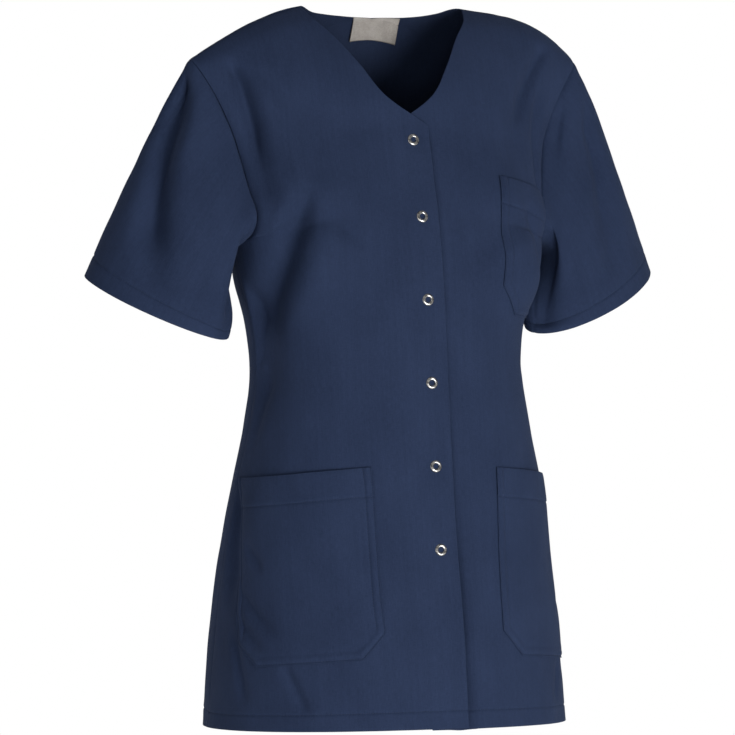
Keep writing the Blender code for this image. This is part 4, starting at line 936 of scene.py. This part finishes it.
def sleeve_grid(side, down):
    share = np.arange(SLEEVE_ROUND) / SLEEVE_ROUND
    grid = sleeve_skin(side, share, down)
    normal = loop_normals(grid)
    round_share = np.broadcast_to(share[None], grid.shape[:2])
    down_share = np.broadcast_to(down[:, None], grid.shape[:2])
    deep = np.zeros(grid.shape[:2])
    for of, share_a, down_a, share_b, down_b, width, depth in SLEEVE_FOLDS:
        if of != side:
            continue
        s = np.clip((down_share - down_a) / (down_b - down_a), 0, 1)
        off = round_share - (share_a + (share_b - share_a) * s)
        ends = smooth_step(down_share, down_a - 0.12, down_a + 0.12)
        ends = ends * (1 - smooth_step(down_share, down_b - 0.1, down_b + 0.15))
        deep += depth * np.exp(-((off / width) ** 2)) * ends
    u, v = round_share * SLEEVE_ROUND_METRES, down_share * SLEEVE_DOWN_METRES
    fine = creases(SLEEVE_CREASES, side, u, v)
    turn = 2 * math.pi * round_share
    fine += 0.0007 * drift(np.cos(turn) * 1.6 + 9, np.sin(turn) * 1.6 + v / 0.06 + 20, 61 + side)
    fine += 0.0003 * drift(np.cos(turn) * 4 + 19, np.sin(turn) * 4 + v / 0.022 + 20, 65 + side)
    # the head stands up a little beside the seam, with the small waves of its eased cloth
    fine -= 0.0005 * np.exp(-(((v - 0.007) / 0.006) ** 2))
    sunk = 0.0005 * np.exp(-((v / 0.0018) ** 2))
    waves = seam_pucker(u, v - 0.006, 81 + side, 0.0005, 0.012, 0.009)
    waves *= smooth_step(v, 0.0, 0.004)
    hem = SLEEVE_DOWN_METRES - v
    sunk += groove(hem - HEM_LINE)
    waves += seam_pucker(u, hem - HEM_LINE, 91 + side, HEM_PUCKER)
    joined = np.cos(turn * 0.5) ** 2
    waves *= 1 - 0.6 * (1 - joined) ** 8
    # the seam under the arm
    off = (round_share - 0.5) * SLEEVE_ROUND_METRES
    sunk += SEAM_SINK * np.exp(-((off / 0.0020) ** 2))
    grid = grid + normal * (waves - deep - fine - sunk)[..., None]
    return grid, loop_normals(grid)


def sleeve(name, side):
    ends = np.array(HEM_STEPS) / SLEEVE_DOWN_METRES
    head = np.array(EDGE_STEPS) / SLEEVE_DOWN_METRES
    down = fine_steps(0.0, 1.0, 0.0024 / SLEEVE_DOWN_METRES, head, ends)
    grid, normal = sleeve_grid(side, down)
    rows, columns = grid.shape[:2]
    i, j = np.meshgrid(np.arange(rows - 1), np.arange(columns), indexing="ij")
    a, b = (i * columns + j).ravel(), (i * columns + (j + 1) % columns).ravel()
    quads = np.stack([a, b, b + columns, a + columns], 1)
    j, top, low = j.ravel(), down[i.ravel()], down[i.ravel() + 1]
    u0, u1 = j / columns * SLEEVE_ROUND_METRES, (j + 1) / columns * SLEEVE_ROUND_METRES
    v0, v1 = -top * SLEEVE_DOWN_METRES, -low * SLEEVE_DOWN_METRES
    uv = np.stack([np.stack(p, -1) for p in ((u0, v0), (u1, v0), (u1, v1), (u0, v1))], 1)
    thick = np.repeat(hemmed((1 - down) * SLEEVE_DOWN_METRES), columns)
    return cloth_shell(name, grid.reshape(-1, 3), normal.reshape(-1, 3), thick, quads, uv, cloth_navy)


def sleeve_sewing(name, side):
    """The row of stitches round the cuff."""
    down = 1 - HEM_LINE / SLEEVE_DOWN_METRES
    grid, normal = sleeve_grid(side, np.array([down - 0.004, down, down + 0.004]))
    return sew(name, [stitch_row(*(np.vstack([ring[1], ring[1, :1]]) for ring in (grid, normal)))])


for side, name in ((-1, "right_sleeve"), (1, "left_sleeve")):
    piece = sleeve(name + "_cloth", side)
    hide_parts(name)
    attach(piece, "root")
    sewing = sleeve_sewing(name + "_sewing", side)

# ================================================================ pockets
# Three patch pockets: one on each hip and one on the left breast. Their low corners are cut off, their mouths
# have a wide hem, and two rows of stitches hold the sides, with a small corner sewn at each end of the mouth.
POCKET_CLOTH, POCKET_LIFT = 0.0009, 0.0003
POCKET_HEM = 0.030
EDGE_ROW, INNER_ROW = 0.0016, 0.0090
CORNER_ACROSS, CORNER_DOWN = 0.0090, 0.0130
# For each pocket: side, heights of foot, cut and mouth at the front edge, how far the cut goes in, and its
# sides as (station, distance of the near side, distance of the far side).
POCKETS = {
    "right_pocket": (-1, -0.632, -0.6065, -0.4390, 0.025, ((0.0683, 0.0803, 0.2432), (0.0930, 0.0809, 0.2434),
                     (0.1280, 0.0829, 0.2442), (0.2400, 0.0845, 0.2466), (0.2635, 0.0861, 0.2470))),
    "left_pocket": (1, -0.632, -0.6065, -0.4406, 0.026, ((0.0, 0.0905, 0.251), (0.1650, 0.0915, 0.251),
                                                          (0.2379, 0.0935, 0.251), (0.2584, 0.0945, 0.246))),
    "chest_pocket": (1, -0.284, -0.255, -0.136, 0.022, (
        (0.4222, 0.1085, 0.2030), (0.4509, 0.1086, 0.2031), (0.4874, 0.1095, 0.2061),
        (0.5080, 0.1101, 0.2075), (0.5215, 0.1108, 0.2060), (0.5350, 0.1116, 0.2000),
        (0.5571, 0.1130, 0.1945), (0.5782, 0.1148, 0.1939))),
}
# Creases of the pockets' own: pocket, path as (share across, metres under the mouth), widths, depth, ends.
POCKET_CREASES = (
    ("right_pocket", ((0.90, 0.060), (0.80, 0.085), (0.74, 0.100)), 0.006, 0.006, 0.0012, (0.3, 0.4)),
    ("right_pocket", ((0.30, 0.020), (0.45, 0.024), (0.62, 0.018)), 0.006, 0.010, 0.0008, (0.4, 0.4)),
)


def height_station(height):
    """The station where the front edge is at this height."""
    at = np.linspace(0.0, station("vee"), 3000)
    return float(np.interp(height, section_values(at)["z_in"], at))


def pocket_plan(name):
    side, low, cut, top, corner, sides = POCKETS[name]
    return side, height_station(low), height_station(cut), height_station(top), corner, np.array(sides)


def pocket_sides(sides, at):
    return np.interp(at, sides[:, 0], sides[:, 1]), np.interp(at, sides[:, 0], sides[:, 2])


def pocket_skin(name, at, along):
    """Outer points of a pocket and the way out: the front under it, moved out, and the pocket's own form."""
    side, low, cut, top, corner, sides = pocket_plan(name)
    near, far = pocket_sides(sides, at)
    under, normal = front_skin(side, at, along)
    slant = math.hypot(corner, cut - low)
    near_cut = ((along - near) * (cut - low) + (at - low) * corner - corner * (cut - low)) / slant
    far_cut = ((far - along) * (cut - low) + (at - low) * corner - corner * (cut - low)) / slant
    inset = np.minimum.reduce([along - near, far - along, at - low, near_cut, far_cut])
    share = (along - near) / (far - near)
    below = top - at
    lift = POCKET_LIFT + POCKET_CLOTH + 0.0003
    lift = lift + 0.0004 * smooth_step(inset, 0.001, 0.012) * smooth_step(below, -0.001, 0.004)
    loose = smooth_step(inset, INNER_ROW, 0.045)
    lift += 0.0007 * loose * np.exp(-below / 0.045) + 0.0007 * loose
    lift += 0.0005 * (1 - smooth_step(below, POCKET_HEM - 0.0016, POCKET_HEM + 0.0012))
    for row in (EDGE_ROW, INNER_ROW):
        lift -= groove(inset - row)
    lift += 0.0006 * np.exp(-(((inset - (EDGE_ROW + INNER_ROW) / 2) / 0.0030) ** 2))
    lift -= groove(below - POCKET_HEM)
    seed = len(name) + side
    lift += seam_pucker(along + at, inset - 0.005, 101 + seed, 0.00026, 0.010, 0.010)
    lift += seam_pucker(along, below - POCKET_HEM, 131 + seed, 0.00024, 0.012, 0.009)
    for of, path, left, right, depth, ends in POCKET_CREASES:
        if of == name:
            width = far - near
            places = [(u * float(np.mean(width)), v) for u, v in path]
            lift -= trough(share * width, below, places, left, right, depth, ends) * loose
    return under + normal * lift[..., None], normal


def pocket_patch(name):
    side, low, cut, top, corner, sides = pocket_plan(name)
    foot = fine_steps(low, cut, 0.0022, (0.0, 0.0004, 0.0010, 0.0016, 0.0023, 0.0034), (0.0,))
    lines = [0.0, 0.0004, 0.0010, 0.0020, 0.0038] + [POCKET_HEM + k * 0.0007 for k in (-2, -1, 0, 1, 2)]
    up = np.linspace(cut, top - POCKET_HEM - 0.003, 36)[1:]
    hem = np.linspace(top - POCKET_HEM + 0.003, top - 0.0055, 9)
    at = np.unique(np.round(np.concatenate([foot, up, hem, top - np.array(lines)]), 6))
    near, far = pocket_sides(sides, at)
    cut_in = corner * np.clip((cut - at) / (cut - low), 0, 1)
    near, far = near + cut_in, far - cut_in
    edge = np.array([0.0, 0.0004, 0.0010, 0.0016, 0.0023, 0.0036, 0.0056, 0.0074, 0.0083, 0.0090, 0.0097,
                     0.0108])
    rest = np.linspace(0, 1, 40)[1:-1]
    along = np.hstack([near[:, None] + edge, near[:, None] + edge[-1]
                       + (far - near - 2 * edge[-1])[:, None] * rest, far[:, None] - edge[::-1]])
    stations = np.repeat(at[:, None], along.shape[1], 1)
    outer, normal = pocket_skin(name, stations, along)
    return grid_shell(name + "_cloth", outer, grid_normals(outer, normal), POCKET_CLOTH * 0.8,
                      (along * side, stations), cloth_navy)


def pocket_line(name, places):
    """A line of stitches through places given as (station, distance)."""
    places = np.array(places, float)
    run = running_length(places)
    fine = np.arange(0, run[-1], 0.001)
    at, along = (np.interp(fine, run, places[:, k]) for k in (0, 1))
    side = POCKETS[name][0]
    return stitch_row(*skin_row(lambda _, *place: pocket_skin(name, *place), side, at, along, 0.0007))


def pocket_sewing(name):
    """Two rows round the sides and foot, one under the mouth's hem, and one across each end of it."""
    _, low, cut, top, corner, sides = pocket_plan(name)
    rows = []
    slant = math.hypot(corner, cut - low)
    foot_near, foot_far = pocket_sides(sides, low)
    for inset in (EDGE_ROW, INNER_ROW):
        # where the slanting line, moved in, meets the side line and the foot line
        meet_side = cut + inset * (slant - (cut - low)) / corner
        meet_foot = corner + inset * (slant - corner) / (cut - low)
        climb = np.linspace(cut, top - 0.001, 30)
        climb = climb[climb > meet_side]
        near, far = pocket_sides(sides, climb)
        path = [*zip(climb[::-1], near[::-1] + inset), (meet_side, foot_near + inset),
                (low + inset, foot_near + meet_foot), (low + inset, foot_far - meet_foot),
                (meet_side, foot_far - inset), *zip(climb, far - inset)]
        rows.append(pocket_line(name, path))
    near, far = pocket_sides(sides, top - POCKET_HEM)
    rows.append(pocket_line(name, [(top - POCKET_HEM, near + EDGE_ROW), (top - POCKET_HEM, far - EDGE_ROW)]))
    for edge, way in zip(pocket_sides(sides, top), (1, -1)):
        rows.append(pocket_line(name, [(top - 0.0012, edge + way * CORNER_ACROSS),
                                       (top - CORNER_DOWN, edge + way * EDGE_ROW)]))
    return sew(name + "_sewing", rows)


for name in POCKETS:
    piece = pocket_patch(name)
    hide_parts(name)
    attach(piece, "root")
    sewing = pocket_sewing(name)

# ================================================================ neck label
# A woven satin label, caught in the back neck and hanging inside; it is left bare.
LABEL_HALF_WIDTH, LABEL_DROP, LABEL_SHIFT = 0.0265, 0.0195, 0.006
LABEL_CLOTH = 0.0006


def satin_material(name, light, dark):
    """Woven satin tape: fine threads across, a fine rib, and a little soil."""
    material, tree, shader = new_material(name)
    where = node(tree, "ShaderNodeUVMap", uv_map="cloth").outputs["UV"]
    noises = []
    for scale in ((500.0, 2600.0, 1.0), (90.0, 140.0, 1.0)):
        mapped = node(tree, "ShaderNodeMapping", {0: where, "Scale": scale}).outputs[0]
        noises.append(node(tree, "ShaderNodeTexNoise", {"Vector": mapped, "Scale": 1.0, "Detail": 3.0},
                           noise_dimensions="2D").outputs["Fac"])
    yarn, soil = noises
    mixed = node(tree, "ShaderNodeMath", {0: yarn, 1: soil}, operation="ADD").outputs[0]
    tone = node(tree, "ShaderNodeMapRange", {"Value": mixed, "From Min": 0.7, "From Max": 1.3}).outputs[0]
    ramp = node(tree, "ShaderNodeValToRGB", {0: tone})
    ramp.color_ramp.elements[0].color, ramp.color_ramp.elements[1].color = (*dark, 1.0), (*light, 1.0)
    bump = node(tree, "ShaderNodeBump", {"Strength": 0.5, "Distance": 0.0001, "Height": yarn})
    feed(tree, shader, {"Base Color": ramp.outputs[0], "Normal": bump.outputs[0], "Roughness": 0.5})
    return material


def label_piece(name):
    """A strip over the middle of the back neck: across from the right, down the inside."""
    satin = satin_material("label satin", (0.38, 0.352, 0.328), (0.27, 0.25, 0.232))
    across = np.linspace(-1, 1, 57)
    down = np.concatenate([np.linspace(0, 0.002, 5), np.linspace(0.0025, LABEL_DROP - 0.0012, 24),
                           [LABEL_DROP - 0.0006, LABEL_DROP]])
    x = np.broadcast_to(LABEL_SHIFT + LABEL_HALF_WIDTH * across[None], (len(down), len(across)))
    deep = np.broadcast_to(down[:, None], x.shape)
    edge_at = np.linspace(station("nape"), station("nape_near"), 60)
    edge_x = section_values(edge_at)["x_in"]
    top_at = np.interp(np.abs(x), edge_x, edge_at) + 0.0006
    foot_at = station("nape") + LABEL_DROP
    at = top_at + (foot_at - top_at) * deep / LABEL_DROP
    along = np.maximum(np.abs(x) - section_values(at.ravel())["x_in"].reshape(x.shape), 0.0)
    points, normals = np.zeros(x.shape + (3,)), np.zeros(x.shape + (3,))
    for side in (-1, 1):
        mine = np.sign(x + 1e-9) == side
        points[mine], normals[mine] = back_skin(side, at[mine], along[mine])
    hang = smooth_step(deep, 0.002, LABEL_DROP)
    off = SHELL + 0.0003 + 0.0022 * hang + 0.0005 * drift(x / 0.016 + 9, deep / 0.02 + 9, 5) * hang
    # the label's inner layer lies against the back's inside, its outer one shows through the neck
    outer = points - normals * (off + LABEL_CLOTH)[..., None]
    return grid_shell(name, outer, grid_normals(outer, -normals), LABEL_CLOTH, (x, -deep), satin)


label = label_piece("neck_label_cloth")
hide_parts("neck_label")
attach(label, "root")

# ================================================================ press studs
# Six ring press studs of bright nickel. The open ring of each cap clamps its teeth through the cloth of the
# right front, and the cloth shows in the ring; socket, stud and back ring sit on the left front.
CAP_PROFILE = (
    (0.00255, 0.0), (0.00250, 0.00035), (0.00262, 0.00072), (0.00295, 0.00100), (0.00345, 0.00122),
    (0.00400, 0.00128), (0.00455, 0.00118), (0.00505, 0.00092), (0.00545, 0.00056), (0.00566, 0.00022),
    (0.00572, 0.0), (0.00560, -0.00022), (0.00400, -0.00030), (0.00270, -0.00022),
)
CAP_SEGMENTS, CAP_LIFT, CAP_SIZE = 48, 0.0004, 1.12


# nickel-plated brass, brushed a little by wear
nickel = flecked_material(
    "nickel plate", (0.54, 0.53, 0.52), 420.0, 3.0,
    {"From Min": 0.35, "From Max": 0.6, "To Min": 0.35, "To Max": 1.1}, (0.14, 0.30), 0.25, 0.0001,
    {"Metallic": 1.0},
)


def spun_ring(name, profile, segments):
    turn = 2 * math.pi * np.arange(segments) / segments
    rings = [[(r * math.cos(a), r * math.sin(a), h) for r, h in profile] for a in turn]
    points = np.array(rings).reshape(-1, 3)
    m = len(profile)
    faces = []
    for k in range(segments):
        for i in range(m):
            a, b = k * m + i, k * m + (i + 1) % m
            c, d = (k + 1) % segments * m + (i + 1) % m, (k + 1) % segments * m + i
            faces.append((a, d, c, b))
    mesh = bpy.data.meshes.new(name)
    mesh.from_pydata(points.tolist(), [], faces)
    mesh.polygons.foreach_set("use_smooth", np.ones(len(faces), bool))
    mesh.update()
    return bpy.data.objects.new(name, mesh)


def cap(tree, given, facing):
    """A cap ring, turned to its own facing."""
    turned = node(tree, "FunctionNodeAlignRotationToVector", {"Vector": facing}, axis="Z")
    shape = node(tree, "GeometryNodeObjectInfo", {"Object": ring})
    return shape.outputs["Geometry"], turned.outputs[0], given["Cap size"]


stud_at = np.array([height_station(z) for z in STUD_HEIGHTS])
stud_points, stud_facing = skin_row(front_skin, -1, stud_at, np.full(len(stud_at), OVERLAP))
ring = spun_ring("cap ring", CAP_PROFILE, CAP_SEGMENTS)
cap_tree = stamp_tree("stud caps", {"Cap size": 1.0}, cap, nickel)
caps = stamped("stud_caps", stud_points + stud_facing * CAP_LIFT, {"facing": stud_facing}, cap_tree,
               {"Cap size": CAP_SIZE})
bpy.data.objects.remove(ring)
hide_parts(*["stud_cap_%d" % (k + 1) for k in range(len(STUD_HEIGHTS))])
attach(caps, "root")
for k in range(len(STUD_HEIGHTS)):
    for part in ("stud_post_%d", "stud_back_%d"):
        solid = bpy.data.objects[part % (k + 1)]
        for slot in solid.material_slots:
            slot.material = nickel

# ================================================================ camera, light and floor
CAMERA_TURN, CAMERA_RISE, CAMERA_AWAY = math.radians(-25), math.radians(1), 6.0
CAMERA_AIM = Vector((-0.0165, 0.0, -0.3435))
FOCAL_PIXELS, PICTURE_PIXELS, SENSOR = 5820, 735, 36.0
level_way = Vector((math.sin(CAMERA_TURN), -math.cos(CAMERA_TURN), 0.0))
back_way = level_way * math.cos(CAMERA_RISE) + Vector((0.0, 0.0, math.sin(CAMERA_RISE)))
camera_data = bpy.data.cameras.new("camera")
camera_data.sensor_width = SENSOR
camera_data.lens = FOCAL_PIXELS / PICTURE_PIXELS * SENSOR
camera = show("camera", camera_data)
camera.location = CAMERA_AIM + back_way * CAMERA_AWAY
camera.rotation_euler = (-back_way).to_track_quat("-Z", "Y").to_euler()
bpy.context.scene.camera = camera

AMBIENT, LIGHTS_AIM = 0.27, Vector((0, 0, -0.35))
# each light: name, place, width, power, colour
LIGHTS = (
    ("key", (0.38, -2.90, -1.10), 1.7, 76.0, (1.0, 0.99, 0.97)),
    ("front", (-2.3, -4.6, -0.9), 1.2, 19.0, (1.0, 1.0, 1.0)),
    ("left", (-4.0, -1.2, -0.6), 1.6, 5.0, (0.98, 0.99, 1.0)),
    ("rim", (-3.0, 2.4, 0.0), 1.2, 14.0, (0.97, 0.99, 1.0)),
    ("back", (1.6, 3.6, 0.6), 2.2, 95.0, (0.98, 0.99, 1.0)),
)
for name, where, size, power, colour in LIGHTS:
    lamp = bpy.data.lights.new(name, "AREA")
    lamp.shape, lamp.size, lamp.energy, lamp.color = "DISK", size, power, colour
    holder = show(name, lamp)
    holder.location = where
    holder.rotation_euler = (LIGHTS_AIM - Vector(where)).to_track_quat("-Z", "Y").to_euler()

world = bpy.data.worlds.new("studio")
world.use_nodes = True
sky = world.node_tree.nodes["Background"]
sky.inputs["Color"].default_value = (1.0, 1.0, 1.0, 1.0)
# the white paper behind shows at full white, and lights the cloth less
seen = node(world.node_tree, "ShaderNodeLightPath").outputs["Is Camera Ray"]
level = node(world.node_tree, "ShaderNodeMapRange", {"Value": seen, "To Min": AMBIENT, "To Max": 1.0})
world.node_tree.links.new(level.outputs[0], sky.inputs["Strength"])
bpy.context.scene.world = world
bpy.context.scene.view_settings.view_transform = "Standard"

FLOOR_LEVEL, FLOOR_REACH = -1.50, 9.0
floor_mesh = bpy.data.meshes.new("floor")
floor_turn = [k * math.pi / 48 for k in range(96)]
floor_rim = [(FLOOR_REACH * math.cos(a), FLOOR_REACH * math.sin(a), FLOOR_LEVEL) for a in floor_turn]
floor_mesh.from_pydata(floor_rim, [], [tuple(range(96))])
floor_white, floor_tree, floor_shader = new_material("floor white")
feed(floor_tree, floor_shader, {"Base Color": (0.90, 0.90, 0.90, 1.0), "Roughness": 0.9})
floor_mesh.materials.append(floor_white)
floor = show("floor", floor_mesh)

import json
